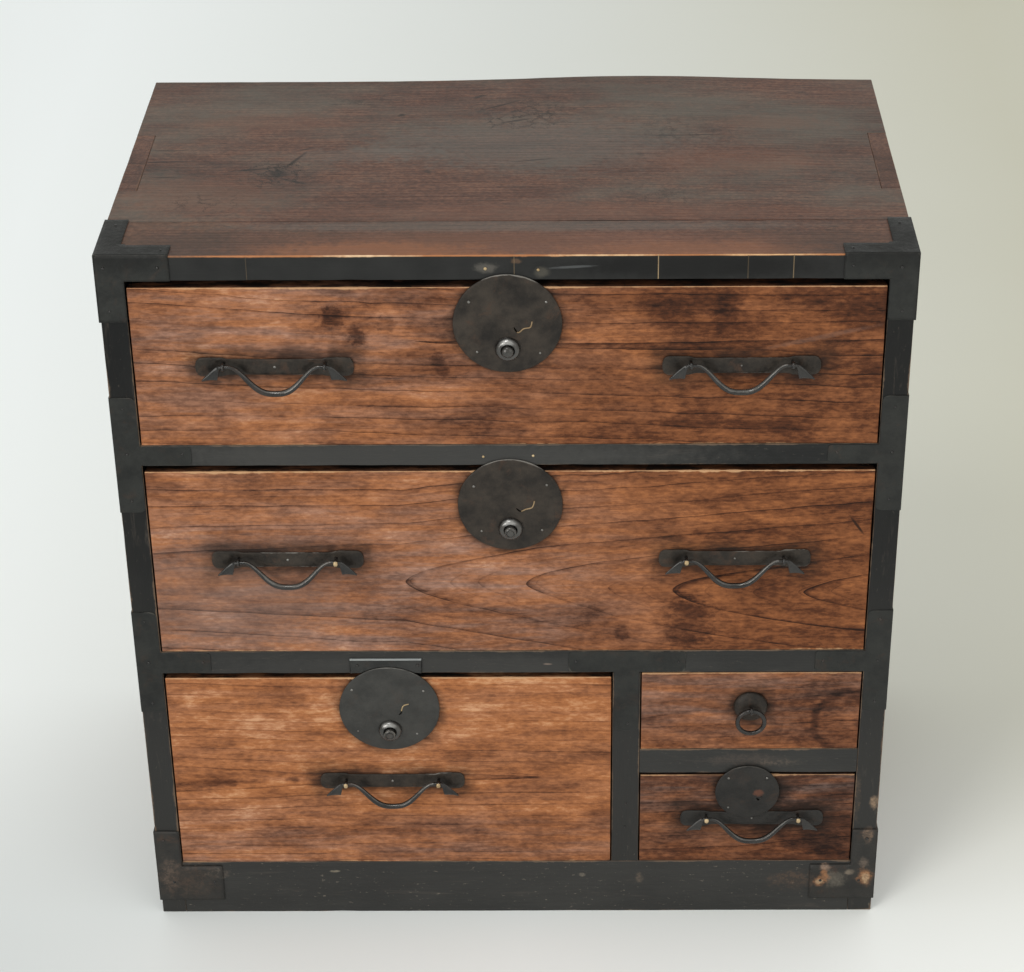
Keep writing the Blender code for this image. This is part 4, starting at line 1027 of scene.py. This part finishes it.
def lockPlate(node, buttonNode, finish, keyhole, lipStart, lipFinish):
    low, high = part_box(node)
    centre = (low + high) / 2
    radius = (high.x - low.x) / 2
    back = frontY - (plateGap if buttonNode else lockShape["smallLift"])
    front = back - lockShape["thickness"]
    depth = back + (0.002 if buttonNode else 0.0003)
    steps = []
    if buttonNode:
        buttonLow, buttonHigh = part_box(buttonNode)
        buttonX, buttonZ = (buttonLow.x + buttonHigh.x) / 2, (buttonLow.z + buttonHigh.z) / 2
        steps += bossSteps(buttonX, buttonZ, back, front)
    line = smoothLine([(centre.x + x * mm, centre.z + z * mm) for x, z in keyhole], 5)
    outline = ribbonOutline(line, lockShape["keyholeWidth"])
    slot = loftShape([[Vector((x, y, z)) for x, z in outline] for y in (front - 0.004, depth)])
    shape = combined(lockDisc(centre, radius, back, front), steps + [("DIFFERENCE", slot)])
    if not buttonNode:
        lockCase(shape, centre, back, high.y)
    before = len(shape.faces)
    path = [Vector((x, front - lockShape["dome"] * 0.85, z)) for x, z in line[lipStart:]]
    loftShape(wireRings(path, lockShape["lipRadius"], 7), shape=shape)
    paint(shape, before, 1)
    if buttonNode:
        for face in shape.faces[:before]:
            middle = face.calc_center_median()
            away = math.hypot(middle.x - buttonX, middle.z - buttonZ)
            if away < lockShape["bossRadius"] + 0.0001 and middle.y < front - 0.0007:
                face.material_index = 2
    closed(shape)

    def rimGap(co):  # painted highlight: only the top of the rim gets the bright edge colour
        if co.y >= back:
            return noWear
        aside = Vector((co.x - centre.x, co.z - centre.z))
        return radius - aside.length + 0.0016 * smoothStep(aside.y / radius, 0.95, 0.6)

    setGaps(shape, rimGap)
    standFor(makePiece(node + ".hammered", shape, finish, lipFinish, "bossIron"), node)


def lockButton(node, domed):
    low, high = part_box(node)
    x, z = (low.x + high.x) / 2, (low.z + high.z) / 2
    radius, body = lockShape["buttonRadius"], lockShape["bodyRadius"]
    tip = low.y
    if domed:
        shares = (0.06, 0.25, 0.45, 0.62, 0.78, 0.9)
        profile = [(tip + 0.0018 * share ** 2.2, radius * share * 0.97) for share in shares]
        profile += [(tip + 0.0021, radius * 0.985), (tip + 0.003, radius)]
    else:
        profile = [(tip + deep, reach) for deep, reach in (
            (0.0002, 0.0004), (0.0001, 0.0014), (0, 0.0026), (0.0005, 0.0029), (0.0005, 0.0033),
            (0.00005, 0.0036), (0.0003, 0.0043), (0.001, radius))]
    start = frontY + lockShape["bodyStart"]
    profile += [(start, radius), (start, body - 0.0003), (start + 0.0003, body), (high.y - 0.0003, body),
                (high.y, body - 0.0003)]
    wedgeY = start + lockShape["bodyRim"]
    nearY, farY = wedgeY - 0.001, high.y + 0.002
    nearZ, farZ = (z + body - lockShape["wedgeSlope"] * (y - wedgeY) for y in (nearY, farY))
    cutter = loftShape([[Vector((px, nearY, nearZ)), Vector((px, farY, farZ)), Vector((px, farY, nearZ))]
                        for px in (x - 0.01, x + 0.01)])
    turned = loftShape(turnedRings(x, z, profile, lockShape["turnedSides"]))
    shape = combined(turned, [("DIFFERENCE", cutter)])

    def edgeGap(co):
        return max(0.0, radius - Vector((co.x - x, co.z - z)).length) if co.y < tip + 0.002 else noWear

    setGaps(shape, edgeGap)
    standFor(makePiece(node + ".turned", closed(shape), "buttonSteel"), node)


keyholes = {  # plate metal, a curled slot in millimetres from its middle, where its lip starts, lip metal
    "top": ("plateIron", ((5, -2.5), (8.4, -7.4), (13, -3.8), (18.2, -2.6), (19.7, 2.5)), 4, "dullBrass"),
    "middle": ("plateIron", ((5, -2.5), (8.4, -5.4), (13, -3.4), (18.2, -1.6), (20.2, 4.5)), 6, "dullBrass"),
    "lower": ("greyIron", ((8.0, -5.6), (10.2, -3.6), (10.8, 0.2), (12.6, 4.2), (17, 5.8)), 8, "brass"),
    "small": ("darkIron", ((8.6, -5.4), (9.8, -8.2), (11, -6.8), (12.6, -6.2), (13, -4)), 10, "rustyIron"),
}
for lock in ("top", "middle", "lower"):
    lockPlate(lock + "_lock_plate", lock + "_lock_button", *keyholes[lock])
    lockButton(lock + "_lock_button", lock == "top")
    bolt = lock + "_lock_bolt"
    shape = bevelled(cadShape(bolt), 0.0004)
    setGaps(shape)
    standFor(makePiece(bolt + ".filed", shape, "buttonSteel"), bolt)
lockPlate("small_lock_plate", None, *keyholes["small"])
print("locks built")


# bail handles: a long plate, two eye pins and a swinging bail

handleShape = {
    "spacing": 0.082, "shoulder": 0.0045, "span": 0.117, "drop": 0.0245, "tipDrop": 0.0115, "fullness": 1.35,
    "gripRadius": 0.0025, "pivotRadius": 0.00155, "leafWidth": 0.0122, "leafThickness": 0.0019,
    "tipWidth": 0.0014, "leafCurve": 1.25, "neck": 0.0026,
    "plateLength": 0.128, "plateWaist": 0.014, "plateEnd": 0.017, "endLength": 0.027, "ramp": 0.006,
    "plateThickness": 0.0012, "eyeClearance": 0.00035, "eyeWire": 0.00075, "eyeHalfWidth": 0.0012,
    "legGap": 0.00066, "pinTail": 0.004, "boardThickness": 0.019, "knob": 0.6,
}


def eyePin(shape, x, y, z, wireRadius, knob=0.0):
    # a knob swells the front of the eye into a rubbed bead, whose bright brass is also a painted highlight
    look = handleShape
    middle = wireRadius + look["eyeClearance"] + look["eyeWire"]
    opening = math.asin(look["legGap"] / middle)
    inside = frontY + look["boardThickness"]
    tail = inside + look["pinTail"]
    leg = [(tail - 0.0003, 0.0062), (tail - 0.0006, 0.004), (inside + 0.002, 0.0016),
           (inside - 0.001, look["legGap"]), (y + middle + 0.002, look["legGap"])]
    angles = [opening + (math.tau - 2 * opening) * step / 16 for step in range(17)]
    loop = [(y + middle * math.cos(angle), middle * math.sin(angle)) for angle in angles]
    path = leg + loop + [(py, -pz) for py, pz in reversed(leg)]
    rings = []
    for index, (py, pz) in enumerate(path):
        along = direction(*beside(path, index))
        inLoop = 4 < index < len(path) - 5
        swell = 1 + knob * max(0.0, (y - py) / middle) ** 2 if inLoop else 1.0
        ring = []
        for angle in turnsOf(10):
            outward = math.sin(angle) * (swell if math.sin(angle) < 0 else 1.0)
            aside = look["eyeWire"] * (outward if inLoop else 0.8 * math.sin(angle))
            wide = look["eyeHalfWidth"] * swell * math.cos(angle)
            ring.append(Vector((x + wide, py - along.y * aside, z + pz + along.x * aside)))
        rings.append(ring)
    loftShape(rings, shape=shape)


def plateHalf(across):
    look = handleShape
    half, roundEnd = look["plateLength"] / 2, look["plateEnd"] * 0.42
    share = smoothStep(across, half - look["endLength"], half - look["endLength"] + look["ramp"])
    height = look["plateWaist"] / 2 + share * (look["plateEnd"] - look["plateWaist"]) / 2
    bow = max(0.0, across - (half - roundEnd)) / roundEnd
    return height * max(0.0, 1 - bow ** 2.6) ** (1 / 2.6)


def handlePlate(node, joint, finish, brightEyes):
    look = handleShape
    pivot = Vector(joint["pos_m"])
    low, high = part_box(node)
    centre = Vector(((low.x + high.x) / 2, 0, (low.z + high.z) / 2))
    back = frontY - plateGap
    front = back - look["plateThickness"]
    half = look["plateLength"] / 2
    steps = 84
    rings = []
    for step in range(steps + 1):
        across = -half + 2 * half * (0.5 - 0.5 * math.cos(math.pi * step / steps)) ** 0.92
        across = min(half - 0.00002, max(-half + 0.00002, across))
        tall = max(0.0004, plateHalf(abs(across)))
        soft = min(0.0005, tall * 0.4)
        ring = [(back, -tall + soft * 0.3), (back - 0.0004, -tall), (front + 0.0003, -tall),
                (front, -tall + soft)]
        ring += [(front, tall * part) for part in (-0.6, -0.25, 0.1, 0.45, 0.75)]
        ring += [(front, tall - soft), (front + 0.0003, tall), (back - 0.0004, tall),
                 (back, tall - soft * 0.3)]
        points = []
        for y, up in ring:
            point = Vector((centre.x + across, y, centre.z + up))
            if y < front + 0.0002:
                point.y += 0.00022 * grit(point, 120.0)
            uneven = grit(Vector((point.x, 0, centre.z + math.copysign(1, up))), 45.0)
            point.z += 0.0003 * uneven * abs(up) / tall
            points.append(point)
        rings.append(points)
    shape = loftShape(rings)
    before = len(shape.faces)
    for side in (-1, 1):
        knob = look["knob"] if side in brightEyes else 0.0
        eyePin(shape, centre.x + side * look["spacing"] / 2, pivot.y, pivot.z, look["pivotRadius"], knob)
    paint(shape, before, 2)
    for face in shape.faces[before:]:
        middle = face.calc_center_median()
        rubbedAndHighlighted = middle.y < pivot.y - 0.0013 and abs(middle.z - pivot.z) < 0.0019
        if rubbedAndHighlighted and (1 if middle.x > centre.x else -1) in brightEyes:
            face.material_index = 1
    closed(shape)
    setGaps(shape, lambda co: 0.0005 + max(0.0, plateHalf(abs(co.x - centre.x)) - abs(co.z - centre.z)))
    standFor(makePiece(node + ".hammered", shape, finish, "brass", "bailIron"), node)


def bailLine():
    # x, z and half sizes from tip to tip
    look = handleShape
    pivotX, tipX = look["spacing"] / 2, look["span"] / 2
    gripX, neckX = pivotX - look["shoulder"], pivotX + look["neck"]
    thin = look["pivotRadius"]
    line = []
    for step in range(41):
        share = step / 40
        size = look["gripRadius"] + (thin - look["gripRadius"]) * smoothStep(share, 0.3, 1.0)
        drop = look["drop"] * (1 + math.cos(math.pi * share ** look["fullness"])) / 2
        line.append((gripX * share, -drop, size, size))
    line += [(place, 0, thin, thin) for place in (pivotX, neckX)]
    for step in range(1, 19):
        share = step / 18
        full = smoothStep(share, 0.0, 0.17)
        width = look["leafWidth"] + (look["tipWidth"] - look["leafWidth"]) * max(0.0, share - 1 / 6) / (5 / 6)
        half = thin + (width / 2 - thin) * full
        thick = thin + (look["leafThickness"] / 2 - thin) * full
        upper = thin - (look["tipDrop"] + thin) * share ** look["leafCurve"]
        line.append((neckX + (tipX - neckX) * share, upper - half, half, thick))
    return [(-x, z, half, thick) for x, z, half, thick in reversed(line[1:])] + line


def bail(node, joint):
    x, y, z = joint["pos_m"]
    pivotX = handleShape["spacing"] / 2
    line = bailLine()
    rings, gaps = [], []
    for index, (px, pz, half, thick) in enumerate(line):
        slope = direction(*beside(line, index)) if abs(px) <= pivotX + 0.0001 else Vector((1.0, 0.0))
        uneven = 1.0 + 0.05 * noise.noise(Vector((px * 60, x * 7, z * 5))) * (1.0 if abs(px) < 0.03 else 0.0)
        ring = []
        for angle in turnsOf(14):
            across, depth = half * uneven * math.cos(angle), thick * uneven * math.sin(angle)
            ring.append(Vector((x + px - slope.y * across, y + depth, z + pz + slope.x * across)))
            highlightedGrip = abs(px) < pivotX  # painted highlight line along the upper front of the grip
            gaps.append(0.0026 * (1 - math.cos(angle + 0.6)) if highlightedGrip else noWear)
        rings.append(ring)
    shape = loftShape(rings)
    layer = shape.verts.layers.float.new("edgeGap")
    for vert, gap in zip(shape.verts, gaps):
        vert[layer] = gap
    standFor(makePiece(node + ".forged", closed(shape), "bailIron", angle=50), node)


handles = {  # which eyes are rubbed bright and carry a painted highlight: left, right
    "top_left": (), "top_right": (), "middle_left": (1,), "middle_right": (-1,), "lower": (-1, 1),
    "small_lower": (-1, 1)}
for handle, brightEyes in handles.items():
    finish = "darkIron" if handle == "small_lower" else "plateIron"
    handlePlate(handle + "_handle_plate", jointOf[handle + "_bail"], finish, brightEyes)
    bail(handle + "_bail", jointOf[handle + "_bail"])
print("bail handles built")


# ring pull on a domed rosette

pullShape = {"radius": 0.015, "rim": 0.0007, "dome": 0.0058, "wire": 0.002, "steps": 56}


def ringPull():
    x, y, z = jointOf["pull_ring"]["pos_m"]
    low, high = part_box("ring_rosette")
    face = frontY - plateGap
    rimY = face - pullShape["rim"]
    radius, wire = pullShape["radius"], pullShape["wire"]
    profile = [(face, 0.002), (face, radius - 0.0003), (face - 0.0003, radius), (rimY, radius)]
    for degrees in range(8, 90, 8):
        angle = math.radians(degrees)
        profile.append((rimY - pullShape["dome"] * math.sin(angle), radius * math.cos(angle)))
    shape = loftShape(turnedRings(x, (low.z + high.z) / 2, profile, 40))
    before = len(shape.faces)
    eyePin(shape, x, y, z, wire)
    paint(shape, before, 1)
    setGaps(closed(shape))
    standFor(makePiece("ring_rosette.domed", shape, "plateIron", "bailIron"), "ring_rosette")
    ringLow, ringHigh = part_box("pull_ring")
    middle = (ringHigh.x - ringLow.x) / 2 - wire
    rings = []
    for around in turnsOf(pullShape["steps"]):
        ring = []
        for angle in turnsOf(12):
            reach = middle + wire * math.cos(angle)
            side, up = reach * math.sin(around), reach * math.cos(around)
            ring.append(Vector((x + side, y + wire * math.sin(angle), z - middle + up)))
        rings.append(ring)
    shape = closed(loftShape(rings, endless=True))
    setGaps(shape)
    standFor(makePiece("pull_ring.forged", shape, "bailIron", angle=60), "pull_ring")


ringPull()
print("ring pull built")


# corner irons, T-plates and the strike plate

hammerStep = 0.006


def cornerIron(node, finish):
    low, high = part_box(node)
    shape = bevelled(cadShape(node), 0.00028, clamp=True)
    for axis in range(3):
        evenCuts(shape, axis, low[axis], high[axis], hammerStep)
    layer = shape.verts.layers.float.new("edgeGap")
    for vert in shape.verts:
        start = vert.co.copy()
        beyond = (frontY - 0.0009 - start.y, abs(start.x) - halfWidth - 0.0009, start.z - topZ - 0.0009)
        outside = [axis for axis, reach in zip((1, 0, 2), beyond) if reach > 0]
        vert[layer] = 0.0 if len(outside) > 1 else noWear
        if len(outside) == 1:
            way = {1: 1, 0: -math.copysign(1, start.x), 2: -1}[outside[0]]
            vert.co[outside[0]] += way * 0.00022 * (0.5 + 0.5 * grit(start, 110.0))
    standFor(makePiece(node + ".wrought", shape, finish), node)


for side in ("left", "right"):
    cornerIron("top_" + side + "_corner_iron", "cornerIron")
    cornerIron("bottom_" + side + "_corner_iron", "rustyIron")

plateShape = {"lift": 0.0001, "thickness": 0.0006, "bevel": 0.0003, "round": 0.006, "flange": 0.034,
              "margin": 0.0011}


def roundedOutline(corners):
    # corners are (x, z, radius)
    outline = []
    for index, (x, z, radius) in enumerate(corners):
        if radius <= 0:
            outline.append((x, z))
            continue
        here = Vector((x, z))
        before, after = corners[index - 1], corners[(index + 1) % len(corners)]
        start, end = (here + (Vector(other[:2]) - here).normalized() * radius for other in (before, after))
        for step in range(6):
            t = step / 5
            outline.append(tuple(start * (1 - t) ** 2 + here * 2 * t * (1 - t) + end * t * t))
    return outline


def insetOutline(outline, amount):
    area = sum(a[0] * b[1] - b[0] * a[1] for a, b in zip(outline, outline[1:] + outline[:1]))
    turn = 1 if area > 0 else -1
    moved = []
    for index, (x, z) in enumerate(outline):
        along = direction(outline[index - 1], outline[(index + 1) % len(outline)])
        moved.append((x - along.y * amount * turn, z + along.x * amount * turn))
    return moved


def flatIron(outline, thickness=plateShape["thickness"], bevel=plateShape["bevel"]):
    # a thin plate lying on the front, from its outline
    back = frontY - plateShape["lift"]
    front = back - thickness
    layers = ((back, outline), (front + bevel, outline), (front, insetOutline(outline, bevel)))
    return loftShape([[Vector((x, y, z)) for x, z in line] for y, line in layers])


def sideFlange(shape, side, lowZ, highZ):
    bevel = plateShape["bevel"]
    inner = side * (halfWidth + plateShape["lift"])
    outer = inner + side * plateShape["thickness"]
    nearY = frontY - plateShape["lift"] - plateShape["thickness"] + 0.0002
    farY = frontY + plateShape["flange"]
    outline = roundedOutline([(nearY, lowZ, 0), (farY, lowZ, 0.004), (farY, highZ, 0.004), (nearY, highZ, 0)])
    layers = ((inner, outline), (outer - side * bevel, outline), (outer, insetOutline(outline, bevel)))
    loftShape([[Vector((x, y, z)) for y, z in line] for x, line in layers], shape=shape)


def hammerFlat(shape):
    closed(shape)
    for axis in (0, 2):
        places = [vert.co[axis] for vert in shape.verts]
        evenCuts(shape, axis, min(places), max(places), hammerStep)
    setGaps(shape)
    layer = shape.verts.layers.float["edgeGap"]
    for vert in shape.verts:
        if abs(vert.co.x) > halfWidth:  # the leaf round the side stays plain
            continue
        if vert.is_boundary or any(edge.calc_face_angle(0.0) > 0.3 for edge in vert.link_edges):
            vert[layer] = 0.0004
        elif vert.co.y < frontY - 0.0006:
            vert.co.y += 0.00015 * grit(vert.co, 120.0)
    return shape


def tPlate(name, side, rail, lowZ, highZ, armEnd):
    railLow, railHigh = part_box(rail)
    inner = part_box("right_stile")[0].x + 0.0006
    outer = halfWidth + 0.0006
    bend = plateShape["round"]
    armLow, armHigh = railLow.z + plateShape["margin"], railHigh.z - plateShape["margin"]
    corners = [(outer, lowZ, 0), (outer, highZ, 0), (inner, highZ, bend), (inner, armHigh, 0.0015),
               (armEnd, armHigh, 0.004), (armEnd, armLow, 0.004), (inner, armLow, 0.0015),
               (inner, lowZ, bend)]
    shape = flatIron([(side * x, z) for x, z in roundedOutline(corners)])
    sideFlange(shape, side, lowZ, highZ)
    addTrim(makePiece(name, hammerFlat(shape), "cornerIron"))


def dividerPlate(armLeft, armRight, foot):
    postLow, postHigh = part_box("divider_post")
    railLow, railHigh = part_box("middle_rail")
    left, right = postLow.x + 0.0012, postHigh.x - 0.0012
    low, high = railLow.z + plateShape["margin"], railHigh.z - plateShape["margin"]
    corners = [(armLeft, low, 0.004), (left, low, 0.0015), (left, foot, 0.005), (right, foot, 0.005),
               (right, low, 0.0015), (armRight, low, 0.004), (armRight, high, 0.004), (armLeft, high, 0.004)]
    addTrim(makePiece("divider_t_plate", hammerFlat(flatIron(roundedOutline(corners))), "cornerIron"))


def strikePlate(left, right, top):
    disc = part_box("lower_lock_plate")
    centre = (disc[0] + disc[1]) / 2
    reach = (disc[1].x - disc[0].x) / 2 + 0.0009
    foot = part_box("middle_rail")[0].z + 0.001
    outline = [(left, top), (left, foot)]
    for step in range(25):
        x = left + 0.002 + (right - left - 0.004) * step / 24
        curve = centre.z + math.sqrt(max(0.0, reach ** 2 - (x - centre.x) ** 2))
        outline.append((x, max(foot, curve)))
    shape = hammerFlat(flatIron(outline + [(right, foot), (right, top)], 0.0022, 0.0009))
    setGaps(shape, lambda co: 0.0 if co.z > top - 0.0012 else noWear)  # a painted highlight along its upper edge
    addTrim(makePiece("lower_strike_plate", shape, "strikeIron"))


tPlates = {"upper": (0.43, 0.539, 0.262), "middle": (0.226, 0.33, 0.261)}  # foot, head and the arm's end
for word, side in (("left", -1), ("right", 1)):
    for place, sizes in tPlates.items():
        tPlate(place + "_t_plate_" + word, side, place + "_rail", *sizes)
dividerPlate(armLeft=0.048, armRight=0.1495, foot=0.204)
strikePlate(left=-0.141, right=-0.079, top=0.2817)
print("flat irons built")


# nails: one cloud of heads for each body and metal

nailShape = {"sides": 9, "rings": 5, "height": 0.55, "smallest": 0.85, "largest": 1.15, "seed": 7}


def nailTree():
    tree = canvas["tree"] = bpy.data.node_groups.new("nailHeads", "GeometryNodeTree")
    inputs = {"Geometry": "Geometry", "Height": "Float", "Seed": "Int", "Finish": "Material"}
    for label, kind in inputs.items():
        tree.interface.new_socket(label, in_out="INPUT", socket_type="NodeSocket" + kind)
    tree.interface.new_socket("Geometry", in_out="OUTPUT", socket_type="NodeSocketGeometry")
    given = tree.nodes.new("NodeGroupInput").outputs
    ball = {"Segments": nailShape["sides"], "Rings": nailShape["rings"], "Radius": 1.0}
    head = made("GeometryNodeMeshUVSphere", ball)
    squash = made("ShaderNodeCombineXYZ", (1.0, 1.0, given["Height"]))
    flat = made("GeometryNodeTransform", {"Geometry": head, "Scale": squash})
    facing, size = [made("GeometryNodeInputNamedAttribute", {"Name": name}, "Attribute", data_type=kind)
                    for name, kind in (("facing", "FLOAT_VECTOR"), ("size", "FLOAT"))]
    turn = made("FunctionNodeAlignRotationToVector", {"Vector": facing}, axis="Z")
    limits = {2: nailShape["smallest"], 3: nailShape["largest"], "Seed": given["Seed"]}
    uneven = made("FunctionNodeRandomValue", limits, 1, data_type="FLOAT")
    points = made("GeometryNodeMeshToPoints", {"Mesh": given["Geometry"]})
    spread = made("GeometryNodeInstanceOnPoints",
                  {"Points": points, "Instance": flat, "Rotation": turn, "Scale": times(size, uneven)})
    real = made("GeometryNodeRealizeInstances", (spread,))
    coat = made("GeometryNodeSetMaterial", {"Geometry": real, "Material": given["Finish"]})
    feed(coat, tree.nodes.new("NodeGroupOutput").inputs[0])
    return tree


nailHeads = nailTree()


def driveNails(name, body, finish, nails):
    # nails are (x, y, z, facing, radius)
    mesh = bpy.data.meshes.new(name + "_points")
    mesh.from_pydata([nail[:3] for nail in nails], [], [])
    mesh.attributes.new("facing", "FLOAT_VECTOR", "POINT")
    mesh.attributes.new("size", "FLOAT", "POINT")
    mesh.attributes["facing"].data.foreach_set("vector", [part for nail in nails for part in nail[3]])
    mesh.attributes["size"].data.foreach_set("value", [nail[4] for nail in nails])
    holder = placeObject(name + "_points", mesh)
    modifier = holder.modifiers.new("nails", "NODES")
    modifier.node_group = nailHeads
    values = {"Height": nailShape["height"], "Seed": nailShape["seed"], "Finish": finishes[finish]}
    for item in nailHeads.interface.items_tree:
        if item.in_out == "INPUT" and item.name in values:
            modifier[item.identifier] = values[item.name]
    bpy.context.view_layer.update()
    heads = bpy.data.meshes.new_from_object(holder.evaluated_get(bpy.context.evaluated_depsgraph_get()))
    bpy.data.objects.remove(holder, do_unlink=True)
    heads.name = name
    heads.shade_smooth()
    gaps = heads.attributes.new("edgeGap", "FLOAT", "POINT")
    gaps.data.foreach_set("value", [noWear] * len(heads.vertices))
    addTrim(placeObject(name, heads), body)


def inFront(depth, radius, places):
    # nails that face forward, from millimetres
    return [(x * mm, frontY - depth, z * mm, (0.0, -1.0, 0.0), radius) for x, z in places]


caseNails = inFront(0.0015, 0.0014, (
    (-319, 656), (-276, 656.5), (-317, 618), (274, 656.7), (312.5, 655), (315, 616),
    (-318, 84), (-312, 36), (-275, 36), (317, 84), (312, 36), (277, 36)))
caseNails += inFront(0.0007, 0.0013, ((54.6, 278), (143.3, 277.4), (99.8, 212.3)))
caseNails += inFront(0.0024, 0.0013, ((-134.5, 275.5), (-82.5, 275.5)))
caseNails += inFront(0.0, 0.0013, ((99, 123.6), (98, 97.5)))
for side in (-1, 1):
    sideways = (float(side), 0.0, 0.0)
    for z in (528.5, 486, 441, 321, 278, 235):
        caseNails += inFront(0.0007, 0.0013, ((side * 315, z),))
        caseNails.append((side * (halfWidth + 0.0007), frontY + 0.024, z * mm, sideways, 0.0013))
    caseNails += inFront(0.0007, 0.0013, ((side * 269.5, 486), (side * 268, 278)))
    for y, z in ((0.05, 0.656), (0.012, 0.62), (0.046, 0.035), (0.012, 0.084)):
        caseNails.append((side * (halfWidth + 0.0015), frontY + y, z, sideways, 0.0014))
    for x, y in ((0.274, 0.009), (0.316, 0.055)):
        caseNails.append((side * x, frontY + y, topZ + 0.0014, (0.0, 0.0, 1.0), 0.0013))
driveNails("case_nails", "case", "bailIron", caseNails)
driveNails("rail_nails", "case", "brass", inFront(0.0, 0.0014, (
    (-16.9, 654.2), (25, 653.1), (-21.7, 482.5), (19.4, 483.3))))

drawerNails = {  # handles with a nail in the middle of their plate, depth of the lock's face, its nails
    "top_drawer": (("top_left", "top_right"), 0.0022,
                   ((-30.5, 626), (31.1, 625.8), (-24.7, 581.1), (26, 580))),
    "middle_drawer": (("middle_left", "middle_right"), 0.0022,
                      ((-30.1, 455.3), (30.4, 456.5), (-24.3, 411.9), (26.3, 412.7))),
    "lower_drawer": (("lower",), 0.0022, ((-140.5, 249.8), (-78.4, 248.5), (-136.8, 205.8), (-85.1, 202.8))),
    "small_lower_drawer": (("small_lower",), 0.0037, ((190, 154), (224, 154), (190.5, 121.5))),
}
for drawer, (drawerHandles, depth, spots) in drawerNails.items():
    nails = inFront(depth, 0.0012, spots)
    for handle in drawerHandles:
        low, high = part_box(handle + "_handle_plate")
        nails += inFront(0.0015, 0.0011, (((low.x + high.x) / 2 / mm, (low.z + high.z) / 2 / mm),))
    driveNails(drawer + "_nails", drawer, "nailIron", nails)
print("nails driven")


# floor, light and camera

floorLook = {  # pale, with painted light and shade: brighter behind on the left, darker and yellower behind on the right, darker in front on the left; stops from left to right, behind and in front
    "size": 40.0, "reach": 0.72,
    "behind": ((0.0, (0.93, 0.955, 0.92)), (0.5, (0.74, 0.752, 0.69)), (1.0, (0.61, 0.59, 0.46))),
    "front": ((0.0, (0.5, 0.525, 0.505)), (0.5, (0.9, 0.92, 0.89)), (1.0, (0.96, 0.955, 0.89))),
}


def makeFloor():
    shape = bmesh.new()
    bmesh.ops.create_grid(shape, x_segments=2, y_segments=2, size=floorLook["size"] / 2)
    mesh = meshOf("floor", shape)
    material = newMaterial("paleFloor", {"Specular IOR Level": 0.2, "Roughness": 0.7})
    point = objectPoint()
    x, y, z = apart(point)
    across = plus(x, 0.5 / floorLook["reach"], 0.5)
    colour = tint(between(y, 0.2, -0.35), ramp(across, floorLook["behind"]), ramp(across, floorLook["front"]))
    colour = tint(times(speckle(point, 2.2, 3.0), 0.1), colour, (0.9, 0.9, 0.9))
    feed(colour, material.node_tree.nodes["Principled BSDF"].inputs["Base Color"])
    mesh.materials.append(material)
    placeObject("floor", mesh)


worldLook = {"light": (0.96, 0.98, 1.0), "strength": 0.86, "backdrop": (0.74, 0.75, 0.72)}


def makeWorld():
    world = bpy.data.worlds.new("studio")
    bpy.context.scene.world = world
    world.use_nodes = True
    tree = canvas["tree"] = world.node_tree
    ambient = tree.nodes["Background"]
    feed(worldLook["light"], ambient.inputs["Color"])
    feed(worldLook["strength"], ambient.inputs["Strength"])
    backdrop = made("ShaderNodeBackground", {"Color": worldLook["backdrop"]})
    path = made("ShaderNodeLightPath").node.outputs
    seen = calc("MAXIMUM", path["Is Camera Ray"], path["Is Glossy Ray"])
    seen = calc("MAXIMUM", seen, path["Is Transmission Ray"])
    mix = made("ShaderNodeMixShader", (seen, ambient.outputs[0], backdrop))
    feed(mix, tree.nodes["World Output"].inputs["Surface"])


lamps = {  # place, aim, size, power, colour
    "window": ((-1.6, -2.3, 0.95), (-0.1, -0.17, 0.4), 1.3, 21.0, (1.0, 0.98, 0.95)),
    "fill": ((1.6, -2.2, 1.3), (0.1, -0.1, 0.3), 1.6, 7.0, (1.0, 0.97, 0.93)),
    "above": ((-0.55, -1.15, 2.5), (0.0, -0.1, 0.5), 0.6, 11.0, (1.0, 1.0, 1.0)),
}


def makeLamps():
    for name, (source, target, size, power, colour) in lamps.items():
        lamp = bpy.data.lights.new(name, "AREA")
        lamp.size, lamp.energy, lamp.color = size, power, colour
        holder = placeObject(name, lamp)
        holder.location = source
        holder.rotation_euler = (Vector(target) - Vector(source)).to_track_quat("-Z", "Y").to_euler()


view = {"at": (0.0464, -2.0232, 1.5539), "yaw": -0.15, "pitch": -30.744, "roll": -0.263,
        "lens": 91.146, "sensor": 36.0, "shift": -0.047}


def makeCamera():
    yaw, pitch, roll = (math.radians(view[key]) for key in ("yaw", "pitch", "roll"))
    ahead = Vector((math.sin(yaw) * math.cos(pitch), math.cos(yaw) * math.cos(pitch), math.sin(pitch)))
    right = Vector((math.cos(yaw), -math.sin(yaw), 0.0))
    up = right.cross(ahead)
    right, up = math.cos(roll) * right + math.sin(roll) * up, math.cos(roll) * up - math.sin(roll) * right
    lens = bpy.data.cameras.new("camera")
    lens.sensor_fit = "HORIZONTAL"
    lens.sensor_width, lens.lens, lens.shift_x = view["sensor"], view["lens"], view["shift"]
    camera = placeObject("camera", lens)
    camera.matrix_world = Matrix.Translation(view["at"]) @ Matrix((right, up, -ahead)).transposed().to_4x4()
    bpy.context.scene.camera = camera


makeFloor()
makeWorld()
makeLamps()
makeCamera()
bpy.context.scene.view_settings.view_transform = "Standard"
print("scene ready")
